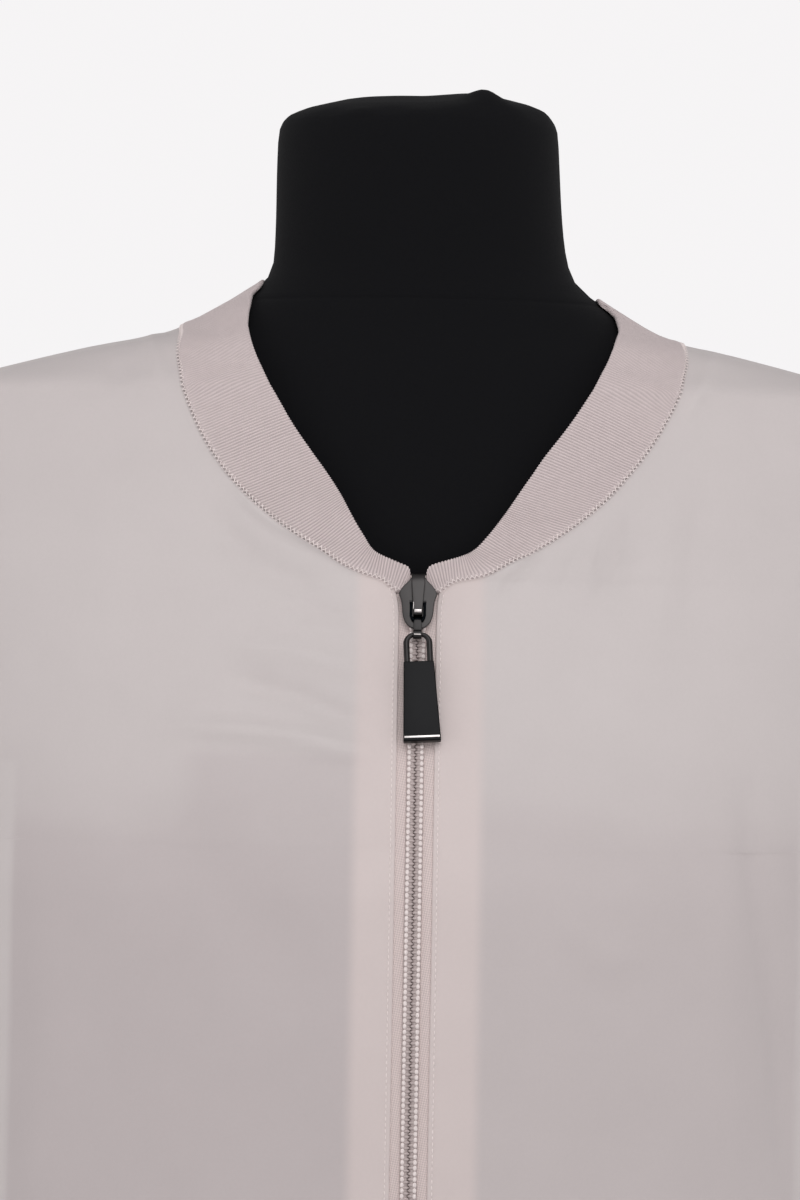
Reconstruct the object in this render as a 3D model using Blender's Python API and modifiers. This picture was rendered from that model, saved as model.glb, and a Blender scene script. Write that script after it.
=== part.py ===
"""A straight gilet with a rib neckband and a front zip, on a limbless dress form.

Metres, +Z up, the front faces -Y, left and right are the wearer's (left is +X).
The origin is the middle of the flat underside that the form stands on.
"""

import math
from collections import namedtuple

import bmesh
import bpy
from mathutils import Matrix, Vector

MM = 0.001

# Walls and gaps
SEAM_GAP = 0.3 * MM  # between two pieces that are sewn or laid together
SEAM_SHARE = 0.7  # of the gap, taken by each panel at a side or shoulder seam
BAND_START = 0.6 * MM  # from the neckline to the band, whose walls lean together on the concave neck
CLOTH_WALL = 1.2 * MM
RIB_WALL = 1.7 * MM
FACING_WALL = 1.0 * MM
TAPE_WALL = 0.7 * MM
REST_GAP = 1.3 * MM  # height of the cloth over the form's shoulders

# Heights of the gilet's edges
HEM_Z = 0.110
UNDERARM_Z = 0.500
SHOULDER_TIP_Z = 0.6755

# Centre front: the gilet hangs a little to the wearer's left of the form's middle
CENTRE_X = 2.8 * MM
NECK_LEAN = 4.2 * MM  # how much further it sits over at the shoulders
LEAN_FROM_Z, LEAN_TO_Z = 0.600, 0.690
FRONT_EDGE = 7.5 * MM  # from the zip's middle to the folded edge of a front
FACING_FROM, FACING_TO = 7.9 * MM, 26.0 * MM

# Neckline, where the band is sewn on: part of a superellipse, then straight over the shoulder
NECK_HALF, NECK_DEPTH, NECK_MIDDLE_Z, NECK_POWER = 0.098, 0.0885, 0.690, 1.7
NECK_RIDGE_Z = 0.710  # about where the neck's edges cross the shoulder line
BACK_NECK_Z, BACK_BAND_Z = 0.676, 0.7065

# Armholes: how far each is cut in from the side seam, in degrees round the body
FRONT_ARMHOLE, BACK_ARMHOLE = 26.0, 20.0
ARMHOLE_POWER = 0.9  # below one is a squarer curve

# Zip, from the cloth's inner face outward
TAPE_INNER, TAPE_OUTER = 1.4 * MM, 15.0 * MM
TAPE_TOP_Z = 0.6035
CHAIN_INNER, CHAIN_OUTER, CHAIN_WALL = 0.15 * MM, 3.0 * MM, 1.6 * MM
CHAIN_LOW_Z, CHAIN_TOP_Z = 0.1265, 0.5925
BOX_SIZE = (9.0 * MM, 3.0 * MM, 9.5 * MM)
BOX_Z = HEM_Z + 3.0 * MM  # the box's foot
STOP_SIZE = (1.8 * MM, 1.2 * MM, 2.4 * MM)
STOP_INNER, STOP_ABOVE = 4.4 * MM, 6.9 * MM  # from the zip's middle, and from the slider's origin
ROW_MARGIN = 4.0 * MM  # least height between a strip's end and the next row

# Slider, link and pull, in the slider's own frame: x across, z up the zip, n outward from the cloth
SLIDER_Z = 0.5930
PLATE_WALL = 1.0 * MM
FRONT_PLATE_N, BACK_PLATE_N = 1.9 * MM, -2.3 * MM
POST_HALF, POST_LOW, POST_HIGH = 1.05 * MM, 4.2 * MM, 8.2 * MM
CROWN_HALF, CROWN_HEIGHT, CROWN_WALL = 1.75 * MM, 3.2 * MM, 1.0 * MM  # height over the plate's middle
CROWN_FOOT, CROWN_HEAD = -2.4 * MM, 3.3 * MM  # lowest and highest point of the space under it
HINGE_N = 3.75 * MM
LINK_HINGE, TAB_HINGE = -1.0 * MM, -14.0 * MM
LINK_BAR = 0.55 * MM
LINK_ARM_IN, LINK_ARM_OUT, LINK_WALL = 2.05 * MM, 3.3 * MM, 1.0 * MM
EYE_HALF, EYE_BORE, EYE_OUTER = 1.75 * MM, 1.2 * MM, 1.8 * MM
BAIL_HALF, BAIL_BEND, BAIL_THIN, BAIL_THICK = 4.25 * MM, 2.2 * MM, 0.8 * MM, 1.05 * MM
BAIL_SUNK = 1.2 * MM  # how far the bail runs into the plate
TAB_TOP, TAB_LENGTH, TAB_WALL = -9.4 * MM, 32.0 * MM, 3.2 * MM
TAB_TOP_HALF, TAB_FOOT_HALF = 5.5 * MM, 6.9 * MM
TAB_EDGE = 0.7 * MM
TAB_TILT = math.radians(3.5)  # the pull hangs a little to the wearer's left

# Dress form
BASE_WALL = 12.0 * MM
BASE_INSET = 4.0 * MM
NECK_TOP_Z, NECK_ROUNDING = 0.7925, 9.0 * MM

Section = namedtuple("Section", "z half_width front back power")
FORM_SECTIONS = [
    Section(0.000, 0.1520, 0.0980, 0.1040, 2.30),
    Section(0.070, 0.1640, 0.1060, 0.1140, 2.30),
    Section(0.130, 0.1650, 0.1050, 0.1150, 2.30),
    Section(0.220, 0.1440, 0.0950, 0.0930, 2.20),
    Section(0.300, 0.1200, 0.0870, 0.0760, 2.15),
    Section(0.370, 0.1320, 0.0950, 0.0840, 2.15),
    Section(0.430, 0.1500, 0.1120, 0.0930, 2.20),
    Section(0.470, 0.1555, 0.1190, 0.0970, 2.25),
    Section(0.510, 0.1550, 0.1130, 0.1010, 2.25),
    Section(0.540, 0.1555, 0.1035, 0.1040, 2.25),
    Section(0.570, 0.1590, 0.0925, 0.1050, 2.25),
    Section(0.600, 0.1650, 0.0820, 0.1030, 2.15),
    Section(0.630, 0.1705, 0.0720, 0.0980, 2.05),
    Section(0.655, 0.1725, 0.0650, 0.0910, 1.90),
    Section(0.672, 0.1690, 0.0610, 0.0860, 1.70),
    Section(0.6815, 0.1600, 0.0590, 0.0830, 1.58),
    Section(0.6900, 0.1280, 0.0565, 0.0790, 1.70),
    Section(0.6975, 0.0985, 0.0545, 0.0755, 1.85),
    Section(0.7080, 0.0770, 0.0520, 0.0712, 2.00),
    Section(0.7138, 0.0690, 0.0510, 0.0690, 2.00),
    Section(0.7184, 0.0630, 0.0505, 0.0675, 2.00),
    Section(0.7240, 0.0592, 0.0500, 0.0660, 2.00),
    Section(0.7300, 0.0574, 0.0497, 0.0650, 2.00),
    Section(0.7450, 0.0560, 0.0495, 0.0630, 2.00),
    Section(0.7650, 0.0555, 0.0492, 0.0620, 2.00),
    Section(0.7835, 0.0550, 0.0490, 0.0610, 2.00),
]

# The cloth's inner face where it hangs. Over the shoulders it follows the form instead.
CHEST_EASE, BACK_EASE, SHOULDER_FULLNESS = 4.5 * MM, 4.0 * MM, 0.12
SHOULDER_FROM_Z = 0.680
HANGING_SECTIONS = [
    Section(0.100, 0.1800, 0.1270, 0.1250, 2.25),
    Section(0.200, 0.1780, 0.1280, 0.1230, 2.25),
    Section(0.320, 0.1770, 0.1290, 0.1180, 2.25),
    Section(0.420, 0.1770, 0.1300, 0.1150, 2.25),
    Section(0.480, 0.1780, 0.1280, 0.1130, 2.25),
    Section(0.510, 0.1790, 0.1202, 0.1120, 2.20),
    Section(0.540, 0.1810, 0.1093, 0.1110, 2.20),
    Section(0.570, 0.1835, 0.0984, 0.1105, 2.15),
    Section(0.600, 0.1865, 0.0875, 0.1090, 2.10),
    Section(0.630, 0.1890, 0.0766, 0.1045, 1.95),
    Section(0.655, 0.1900, 0.0700, 0.0965, 1.92),
    Section(0.674, 0.1900, 0.0655, 0.0890, 1.76),
]

# Soft folds of the hanging cloth: degrees round the body, its spread, how far it stands out at the hem
Fold = namedtuple("Fold", "turn spread out from_z")
FOLDS = [
    Fold(24.0, 11.0, -3.0 * MM, 0.40),
    Fold(43.0, 12.0, 8.0 * MM, 0.45),
    Fold(62.0, 9.0, -4.0 * MM, 0.44),
    Fold(78.0, 9.0, 5.0 * MM, 0.47),
    Fold(103.0, 10.0, 6.0 * MM, 0.49),
    Fold(124.0, 11.0, -3.0 * MM, 0.46),
    Fold(147.0, 14.0, 9.0 * MM, 0.52),
    Fold(178.0, 14.0, -3.0 * MM, 0.48),
    Fold(-27.0, 12.0, -3.0 * MM, 0.39),
    Fold(-47.0, 13.0, 9.0 * MM, 0.46),
    Fold(-70.0, 10.0, -3.0 * MM, 0.42),
    Fold(-84.0, 9.0, 5.0 * MM, 0.45),
    Fold(-108.0, 11.0, 5.0 * MM, 0.48),
    Fold(-131.0, 12.0, 4.0 * MM, 0.50),
    Fold(-155.0, 13.0, 7.0 * MM, 0.53),
]

# Free edge of the neckband in front: height and distance from the gilet's middle
EdgeRow = namedtuple("EdgeRow", "z half")
BAND_EDGE = [
    EdgeRow(0.6065, 0.0045),
    EdgeRow(0.6113, 0.0157),
    EdgeRow(0.6171, 0.0220),
    EdgeRow(0.6404, 0.0373),
    EdgeRow(0.6639, 0.0538),
    EdgeRow(0.6876, 0.0677),
    EdgeRow(0.6993, 0.0714),
    EdgeRow(0.7120, 0.0700),
    EdgeRow(0.7220, 0.0690),
]
BAND_STAND_OFF = 1.0 * MM  # how far the band's free edge stands off

# Right half of the slider's plates, from top to foot: distance from the middle and height
OutlineRow = namedtuple("OutlineRow", "half z")
PLATE_OUTLINE = [
    OutlineRow(3.0 * MM, 8.6 * MM),
    OutlineRow(5.4 * MM, 5.6 * MM),
    OutlineRow(7.0 * MM, 3.2 * MM),
    OutlineRow(6.7 * MM, 0.8 * MM),
    OutlineRow(5.5 * MM, -3.0 * MM),
    OutlineRow(5.2 * MM, -6.4 * MM),
    OutlineRow(2.2 * MM, -10.2 * MM),
]

# The crown's outer side, from its head over the top to its foot: height over the plate's middle
CrownRow = namedtuple("CrownRow", "n z")
CROWN_OUTLINE = [
    CrownRow(0.0 * MM, 8.0 * MM),
    CrownRow(0.9 * MM, 10.2 * MM),
    CrownRow(2.0 * MM, 10.2 * MM),
    CrownRow(2.9 * MM, 8.6 * MM),
    CrownRow(3.2 * MM, 5.7 * MM),
    CrownRow(3.2 * MM, -1.4 * MM),
    CrownRow(2.5 * MM, -3.0 * MM),
    CrownRow(0.0 * MM, -3.4 * MM),
]

# Right half of the link's outline and of its hole, from top to foot
LINK_OUTLINE = [
    OutlineRow(LINK_ARM_OUT, 0.0 * MM),
    OutlineRow(LINK_ARM_OUT, -7.0 * MM),
    OutlineRow(EYE_HALF, -10.4 * MM),
    OutlineRow(EYE_HALF, -11.5 * MM),
]
LINK_HOLE = [
    OutlineRow(LINK_ARM_IN, 1.0 * MM),
    OutlineRow(LINK_ARM_IN, -5.6 * MM),
    OutlineRow(1.0 * MM, -7.4 * MM),
]

# Mesh counts
FORM_TURNS, FORM_STEP = 44, 0.021
SHOULDER_ROWS_Z = 0.660  # over this height the form has a ring at each of its sections
FRONT_COLUMNS, BAND_COLUMNS = 12, 4
LOWER_ROWS, UPPER_ROWS = 14, 14
CURVE_SAMPLES = 160
BAIL_STEPS, NECK_STEPS = 6, 3
SHARP_ANGLE = math.radians(35)

# Colour, roughness and metallic value of each finish
Finish = namedtuple("Finish", "colour roughness metallic")
FINISHES = {
    "cloth": Finish((0.52, 0.46, 0.455), 0.6, 0.0),
    "rib_knit": Finish((0.54, 0.45, 0.45), 0.85, 0.0),
    "zip_tape": Finish((0.50, 0.43, 0.43), 0.8, 0.0),
    "zip_coil": Finish((0.56, 0.50, 0.49), 0.45, 0.0),
    "gunmetal": Finish((0.06, 0.06, 0.065), 0.28, 1.0),
    "form_jersey": Finish((0.010, 0.010, 0.012), 0.9, 0.0),
    "form_board": Finish((0.014, 0.014, 0.016), 0.6, 0.0),
}


def clear_scene():
    for old in list(bpy.data.objects):
        bpy.data.objects.remove(old, do_unlink=True)


def finish_material(name):
    """The finish's material, made once."""
    if name in bpy.data.materials:
        return bpy.data.materials[name]
    finish = FINISHES[name]
    material = bpy.data.materials.new(name)
    material.use_nodes = True
    shader = material.node_tree.nodes["Principled BSDF"]
    shader.inputs["Base Color"].default_value = (*finish.colour, 1.0)
    shader.inputs["Roughness"].default_value = finish.roughness
    shader.inputs["Metallic"].default_value = finish.metallic
    return material


def smooth_at(heights, values, z):
    """The value at height z of a smooth curve through rows, which never swings past a row."""
    last = len(heights) - 1
    i = min(max(sum(h <= z for h in heights) - 1, 0), last - 1)
    steps = [(values[k + 1] - values[k]) / (heights[k + 1] - heights[k]) for k in range(last)]

    def slope(k):
        if k == 0 or k == last:
            return steps[min(k, last - 1)]
        before, after = steps[k - 1], steps[k]
        return 0.0 if before * after <= 0 else 2 * before * after / (before + after)

    width = heights[i + 1] - heights[i]
    t = min(max((z - heights[i]) / width, 0.0), 1.0)
    return (
        values[i] * (1 + 2 * t) * (1 - t) ** 2
        + values[i + 1] * t * t * (3 - 2 * t)
        + width * slope(i) * t * (1 - t) ** 2
        - width * slope(i + 1) * t * t * (1 - t)
    )


def section_at(sections, z):
    heights = [row.z for row in sections]
    return Section(z, *(smooth_at(heights, column, z) for column in list(zip(*sections))[1:]))


def point_on(section, turn):
    """The section's point at turn radians round from the centre front toward the wearer's left."""
    across, ahead = math.sin(turn), math.cos(turn)
    reach = section.front if ahead > 0 else section.back
    power = 2 / section.power
    return Vector(
        (
            section.half_width * math.copysign(abs(across) ** power, across),
            -reach * math.copysign(abs(ahead) ** power, ahead),
            section.z,
        )
    )


def soft_step(t):
    t = min(max(t, 0.0), 1.0)
    return t * t * (3 - 2 * t)


def cloth_sections():
    """Rows of the cloth's inner face: hanging below, and over the form's shoulders and neck above."""
    over = [
        Section(
            row.z + REST_GAP, row.half_width, row.front + CHEST_EASE, row.back + BACK_EASE,
            row.power + SHOULDER_FULLNESS,
        )
        for row in FORM_SECTIONS
        if row.z > SHOULDER_FROM_Z
    ]
    return HANGING_SECTIONS + over


CLOTH_SECTIONS = cloth_sections()


def fold_out(turn, z):
    """How far the folds push the cloth out at a place."""
    out = 0.0
    for fold in FOLDS:
        away = (math.degrees(turn) - fold.turn + 180) % 360 - 180
        hang = soft_step((fold.from_z - z) / (fold.from_z - HEM_Z))
        out += fold.out * hang * math.exp(-((away / fold.spread) ** 2))
    return out


def cloth_point(turn, z):
    point = point_on(section_at(CLOTH_SECTIONS, z), turn)
    outward = Vector((point.x, point.y, 0)).normalized()
    return point + outward * fold_out(turn, z)


def cloth_normal(turn, z):
    turn_step, z_step = 0.01, 1.0 * MM
    across = cloth_point(turn + turn_step, z) - cloth_point(turn - turn_step, z)
    up = cloth_point(turn, z + z_step) - cloth_point(turn, z - z_step)
    return across.cross(up).normalized()


def turn_at(x, z):
    """How far round the body the cloth in front has this x at height z."""
    section = section_at(CLOTH_SECTIONS, z)
    share = min(abs(x) / section.half_width, 1.0)
    return math.copysign(math.asin(share ** (section.power / 2)), x)


def beside_seam(z, reach_name):
    """Radians from the side or shoulder line at which one panel's share of the seam gap is left."""
    section = section_at(CLOTH_SECTIONS, z)
    share = SEAM_SHARE * SEAM_GAP / getattr(section, reach_name)
    return math.asin(share ** (section.power / 2))


def lean_at(z):
    return CENTRE_X + NECK_LEAN * soft_step((z - LEAN_FROM_Z) / (LEAN_TO_Z - LEAN_FROM_Z))


def ridge_height(side, half):
    """The height at which the shoulder line lies at this distance from the gilet's middle."""
    low, high = SHOULDER_TIP_Z, NECK_TOP_Z - NECK_ROUNDING
    for _ in range(40):
        z = (low + high) / 2
        if section_at(CLOTH_SECTIONS, z).half_width > half + side * lean_at(z):
            low = z
        else:
            high = z
    return low


def evenly(places, count):
    """Places (turn, z) along a dense list, evenly spaced on the cloth."""
    points = [cloth_point(*place) for place in places]
    along = [0.0]
    for before, after in zip(points, points[1:]):
        along.append(along[-1] + (after - before).length)
    picked = []
    k = 0
    for i in range(count):
        target = along[-1] * i / (count - 1)
        while k < len(along) - 2 and along[k + 1] < target:
            k += 1
        share = (target - along[k]) / max(along[k + 1] - along[k], 1e-12)
        share = min(max(share, 0.0), 1.0)
        picked.append(
            tuple(a + (b - a) * share for a, b in zip(places[k], places[k + 1]))
        )
    return picked


def neckline_half(z):
    drop = max(0.0, (NECK_MIDDLE_Z - z) / NECK_DEPTH)
    return NECK_HALF * (1 - min(drop, 1.0) ** NECK_POWER) ** (1 / NECK_POWER)


def neckline_front_z(half):
    """The height of the neckline at this distance from the gilet's middle."""
    return NECK_MIDDLE_Z - NECK_DEPTH * (1 - (half / NECK_HALF) ** NECK_POWER) ** (1 / NECK_POWER)


def rising_edge(side, half_at, from_z):
    """Dense places up an edge in front, from from_z to the shoulder line."""
    to_z = ridge_height(side, half_at(NECK_RIDGE_Z))
    places = []
    for i in range(CURVE_SAMPLES + 1):
        t = i / CURVE_SAMPLES
        z = from_z + (to_z - from_z) * (1 - math.cos(math.pi * t)) / 2
        x = side * half_at(z) + lean_at(z)
        places.append((turn_at(x, z) if i < CURVE_SAMPLES else side * math.pi / 2, z))
    return places


def neckline(side):
    return rising_edge(side, neckline_half, neckline_front_z(FRONT_EDGE))


def band_half(z):
    return smooth_at([row.z for row in BAND_EDGE], [row.half for row in BAND_EDGE], z)


def band_edge(side):
    return rising_edge(side, band_half, BAND_EDGE[0].z)


def armhole(side, cut, reach_name):
    """Places from the underarm up to the shoulder tip. cut is below zero on the back."""
    places = []
    for i in range(CURVE_SAMPLES + 1):
        t = i / CURVE_SAMPLES
        z = UNDERARM_Z + (SHOULDER_TIP_Z - UNDERARM_Z) * (1 - math.cos(math.pi * t)) / 2
        seam = math.copysign(beside_seam(z, reach_name), cut)
        turn = math.pi / 2 - seam - math.radians(cut) * math.sin(math.pi * t) ** ARMHOLE_POWER
        places.append((side * turn, z))
    return evenly(places, UPPER_ROWS + 1)


def add_object(name, mesh, finish):
    piece = bpy.data.objects.new(name, mesh)
    bpy.data.collections["gilet_on_dress_form"].objects.link(piece)
    mesh.materials.clear()
    mesh.materials.append(finish_material(finish))
    mesh.shade_smooth()
    mesh.set_sharp_from_angle(angle=SHARP_ANGLE)
    return piece


def surface_piece(name, grids, wall, finish):
    """A piece of cloth: an open surface through one or more grids of points, with its wall put outward."""
    shape = bmesh.new()
    for grid in grids:
        rows = [[shape.verts.new(point) for point in row] for row in grid]
        for low, high in zip(rows, rows[1:]):
            for a, b, c, d in zip(low, low[1:], high[1:], high):
                shape.faces.new((a, b, c, d))
    bmesh.ops.remove_doubles(shape, verts=shape.verts, dist=0.01 * MM)
    mesh = bpy.data.meshes.new(name)
    shape.to_mesh(mesh)
    shape.free()
    piece = add_object(name, mesh, finish)
    solid = piece.modifiers.new("wall", "SOLIDIFY")
    solid.thickness = wall
    solid.offset = 1.0
    return piece


def rising(from_z, to_z, count):
    return [from_z + (to_z - from_z) * i / count for i in range(count)]


def between(first, second, share):
    return tuple(a + (b - a) * share for a, b in zip(first, second))


def between_numbers(first, second, share):
    return first + (second - first) * share


def share_at(first, second, x):
    """How far along a row of the front this x lies."""
    return (turn_at(x, first[1]) - first[0]) / (second[0] - first[0])


def shoulder_places(side, neck_z, reach_name):
    """Places along the shoulder seam from the neck to the tip, a seam gap off the shoulder line."""
    turned = 1 if reach_name == "front" else -1
    places = []
    for i in range(FRONT_COLUMNS + 1):
        z = neck_z + (SHOULDER_TIP_Z - neck_z) * i / FRONT_COLUMNS
        places.append((side * (math.pi / 2 - turned * beside_seam(z, reach_name)), z))
    return places


def panel_rows(side, reach_name, middle, top_middle_z, neck, cut):
    """The ends of each row of half a panel: its middle and neck edge, then its side and armhole edge.

    middle gives how far round the body the middle edge lies at a height. The first LOWER_ROWS rows
    run from the middle to the side seam, and the others from the neck to the armhole.
    """
    turned = 1 if reach_name == "front" else -1
    middle_z = rising(HEM_Z, top_middle_z, LOWER_ROWS)
    side_z = rising(HEM_Z, UNDERARM_Z, LOWER_ROWS)
    lower = [
        ((middle(low), low), (side * (math.pi / 2 - turned * beside_seam(high, reach_name)), high))
        for low, high in zip(middle_z, side_z)
    ]
    return lower + list(zip(evenly(neck, UPPER_ROWS + 1), armhole(side, cut, reach_name)))


def front_rows(side):
    edge_x = CENTRE_X + side * FRONT_EDGE
    foot_z = neckline_front_z(FRONT_EDGE)
    return panel_rows(
        side, "front", lambda z: turn_at(edge_x, z), foot_z, neckline(side), FRONT_ARMHOLE
    )


def panel_places(rows, marks):
    """Places along each row: at the marks near the middle, then evenly to the side."""
    even = [i / FRONT_COLUMNS for i in range(FRONT_COLUMNS + 1)]
    rest = FRONT_COLUMNS - len(marks)
    places = []
    for j, (first, second) in enumerate(rows):
        if j <= LOWER_ROWS:
            near = [0.0] + [share_at(first, second, x) for x in marks]
            shares = near + [near[-1] + (1 - near[-1]) * i / rest for i in range(1, rest + 1)]
            foot_shares = shares
        else:
            rise = (j - LOWER_ROWS) / UPPER_ROWS
            shares = [between_numbers(a, b, rise) for a, b in zip(foot_shares, even)]
        places.append([between(first, second, share) for share in shares])
    return places


def make_front(name, side):
    rows = front_rows(side)
    marks = [CENTRE_X + side * half for half in (TAPE_OUTER, FACING_TO)]
    places = panel_places(rows, marks)
    places[-1] = shoulder_places(side, rows[-1][0][1], "front")
    grid = [[cloth_point(*place) for place in row[::side]] for row in places]
    return surface_piece(name, [grid], CLOTH_WALL, "cloth")


def back_neck_places(side, shoulder_z, middle_z):
    """Dense places from the shoulder line to the centre back, round the wearer's side."""
    places = []
    for i in range(CURVE_SAMPLES + 1):
        t = i / CURVE_SAMPLES
        turn = side * (math.pi / 2) * (1 + t)
        places.append((turn, shoulder_z + (middle_z - shoulder_z) * math.sin(math.pi * t / 2) ** 2))
    return places


def make_back():
    halves = []
    for side in (1, -1):
        neck_z = neckline(side)[-1][1]
        neck = back_neck_places(side, neck_z, BACK_NECK_Z)[::-1]
        rows = panel_rows(side, "back", lambda z: side * math.pi, BACK_NECK_Z, neck, -BACK_ARMHOLE)
        places = panel_places(rows, [])
        places[-1] = shoulder_places(side, neck_z, "back")
        halves.append([[cloth_point(*place) for place in row[::-side]] for row in places])
    return surface_piece("back", halves, CLOTH_WALL, "cloth")


def make_neckband():
    """A band between the neckline and its free edge, from one centre front end to the other."""
    rows = [[] for _ in range(BAND_COLUMNS + 1)]
    for side in (1, -1):
        sewn_front, free_front = neckline(side), band_edge(side)
        sewn_back = back_neck_places(side, sewn_front[-1][1], BACK_NECK_Z)
        free_back = back_neck_places(side, free_front[-1][1], BACK_BAND_Z)
        count = UPPER_ROWS + 1
        sewn = evenly(sewn_front, count) + evenly(sewn_back, count)[1:]
        free = evenly(free_front, count) + evenly(free_back, count)[1:]
        for column, row in enumerate(rows):
            half = []
            for low, high in zip(sewn, free):
                start = BAND_START / (cloth_point(*high) - cloth_point(*low)).length
                share = start + (1 - start) * column / BAND_COLUMNS
                place = between(low, high, share)
                off = BAND_STAND_OFF * share**2
                half.append(cloth_point(*place) + cloth_normal(*place) * off)
            row.extend(half if side == 1 else half[-2::-1])
    return surface_piece("neckband", [rows], RIB_WALL, "rib_knit")


def make_strip(name, side, halves, rows, off, wall, finish):
    """A strip up the centre front, made from the front's own rows and moved off its inner face."""
    grid = []
    for first, second in rows:
        row = []
        for half in halves[::side]:
            share = share_at(first, second, CENTRE_X + side * half)
            place = between(first, second, share)
            row.append(cloth_point(*place) + cloth_normal(*place) * off)
        grid.append(row)
    return surface_piece(name, [grid], wall, finish)


def rows_from_to(side, low_z, top_z):
    """The front's rows between two heights at the centre front, with a level row at each of them."""
    lower = front_rows(side)[: LOWER_ROWS + 1]
    inside = [row for row in lower if low_z + ROW_MARGIN < row[0][1] < top_z - ROW_MARGIN]
    ends = []
    for z, near in ((low_z, inside[0]), (top_z, inside[-1])):
        shift = z - near[0][1]
        ends.append(tuple((turn, height + shift) for turn, height in near))
    return [ends[0]] + inside + [ends[1]]


def make_zip_strips():
    tape_off = -SEAM_GAP - TAPE_WALL
    facing_off = tape_off - SEAM_GAP - FACING_WALL
    tape_halves = (TAPE_INNER, FRONT_EDGE, TAPE_OUTER)
    facing_halves = (FACING_FROM, TAPE_OUTER, FACING_TO)
    for side, wearer in ((1, "left"), (-1, "right")):
        whole = front_rows(side)[: LOWER_ROWS + 1]
        tape_rows = rows_from_to(side, HEM_Z, TAPE_TOP_Z)
        make_strip(
            f"zip_tape_{wearer}", side, tape_halves, tape_rows, tape_off, TAPE_WALL, "zip_tape"
        )
        make_strip(
            f"zip_chain_{wearer}", side, (CHAIN_INNER, CHAIN_OUTER),
            rows_from_to(side, CHAIN_LOW_Z, CHAIN_TOP_Z), 0.0, CHAIN_WALL, "zip_coil",
        )
        make_strip(
            f"facing_{wearer}", side, facing_halves, whole, facing_off, FACING_WALL, "cloth"
        )


def zip_place(z):
    """Where the zip's middle is on the cloth's inner face, and its turn back from upright."""
    place = (turn_at(CENTRE_X, z), z)
    normal = cloth_normal(*place)
    point = cloth_point(*place)
    return Vector((CENTRE_X, point.y, z)), math.atan2(normal.z, -normal.y)


def joined(name, pieces, finish):
    """The union of some closed shapes, as one object."""
    body = pieces[0]
    body.name = name
    for other in pieces[1:]:
        union = body.modifiers.new("join", "BOOLEAN")
        union.operation = "UNION"
        union.object = other
        bpy.context.view_layer.update()
        graph = bpy.context.evaluated_depsgraph_get()
        mesh = bpy.data.meshes.new_from_object(body.evaluated_get(graph))
        body.modifiers.clear()
        body.data = mesh
        bpy.data.objects.remove(other, do_unlink=True)
    body.data.name = name
    body.data.materials.clear()
    body.data.materials.append(finish_material(finish))
    body.data.shade_smooth()
    body.data.set_sharp_from_angle(angle=SHARP_ANGLE)
    return body


def slab(name, outline, wall, axis, start, finish):
    """A closed flat piece: its outline across two axes, pushed out along the third."""
    shape = bmesh.new()
    order = {"n": lambda a, b, c: (a, -c, b), "x": lambda a, b, c: (c, -a, b)}[axis]
    verts = [shape.verts.new(order(a, b, start)) for a, b in outline]
    face = shape.faces.new(verts)
    pushed = bmesh.ops.extrude_face_region(shape, geom=[face])
    moved = [item for item in pushed["geom"] if isinstance(item, bmesh.types.BMVert)]
    bmesh.ops.translate(shape, verts=moved, vec=Vector(order(0, 0, wall)) - Vector(order(0, 0, 0)))
    bmesh.ops.recalc_face_normals(shape, faces=shape.faces)
    mesh = bpy.data.meshes.new(name)
    shape.to_mesh(mesh)
    shape.free()
    return add_object(name, mesh, finish)


def both_sides(half_outline):
    """A whole outline from its right half, given from top to foot."""
    right = [(half, z) for half, z in half_outline]
    return right + [(-half, z) for half, z in reversed(right)]


def box_between(name, low, high, finish):
    """A box between two corners, in x, n and z."""
    bpy.ops.mesh.primitive_cube_add(size=1.0)
    box = bpy.context.object
    box.name = name
    size = [b - a for a, b in zip(low, high)]
    middle = [(a + b) / 2 for a, b in zip(low, high)]
    box.data.transform(
        Matrix.Translation((middle[0], -middle[1], middle[2])) @ Matrix.Diagonal((*size, 1))
    )
    for collection in box.users_collection:
        collection.objects.unlink(box)
    bpy.data.collections["gilet_on_dress_form"].objects.link(box)
    box.data.materials.append(finish_material(finish))
    return box


def cylinder_along_x(name, radius, half, n, z, finish, sides=20):
    bpy.ops.mesh.primitive_cylinder_add(vertices=sides, radius=radius, depth=2 * half)
    rod = bpy.context.object
    rod.name = name
    rod.data.transform(Matrix.Translation((0, -n, z)) @ Matrix.Rotation(math.pi / 2, 4, "Y"))
    for collection in rod.users_collection:
        collection.objects.unlink(rod)
    bpy.data.collections["gilet_on_dress_form"].objects.link(rod)
    rod.data.materials.append(finish_material(finish))
    return rod


def cut(body, cutter):
    """Cuts one closed shape from another and removes the cutter."""
    minus = body.modifiers.new("cut", "BOOLEAN")
    minus.operation = "DIFFERENCE"
    minus.object = cutter
    bpy.context.view_layer.update()
    graph = bpy.context.evaluated_depsgraph_get()
    body.data = bpy.data.meshes.new_from_object(body.evaluated_get(graph))
    body.modifiers.clear()
    bpy.data.objects.remove(cutter, do_unlink=True)
    return body


def set_on_zip(piece, offset_n=0.0, offset_z=0.0, tilt=0.0):
    """Turns a piece from the slider's frame to its place on the chest."""
    point, back = zip_place(SLIDER_Z)
    frame = Matrix.Translation(point) @ Matrix.Rotation(-back, 4, "X")
    shift = Matrix.Translation((0, -offset_n, offset_z)) @ Matrix.Rotation(-tilt, 4, "Y")
    piece.matrix_world = frame @ shift


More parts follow.
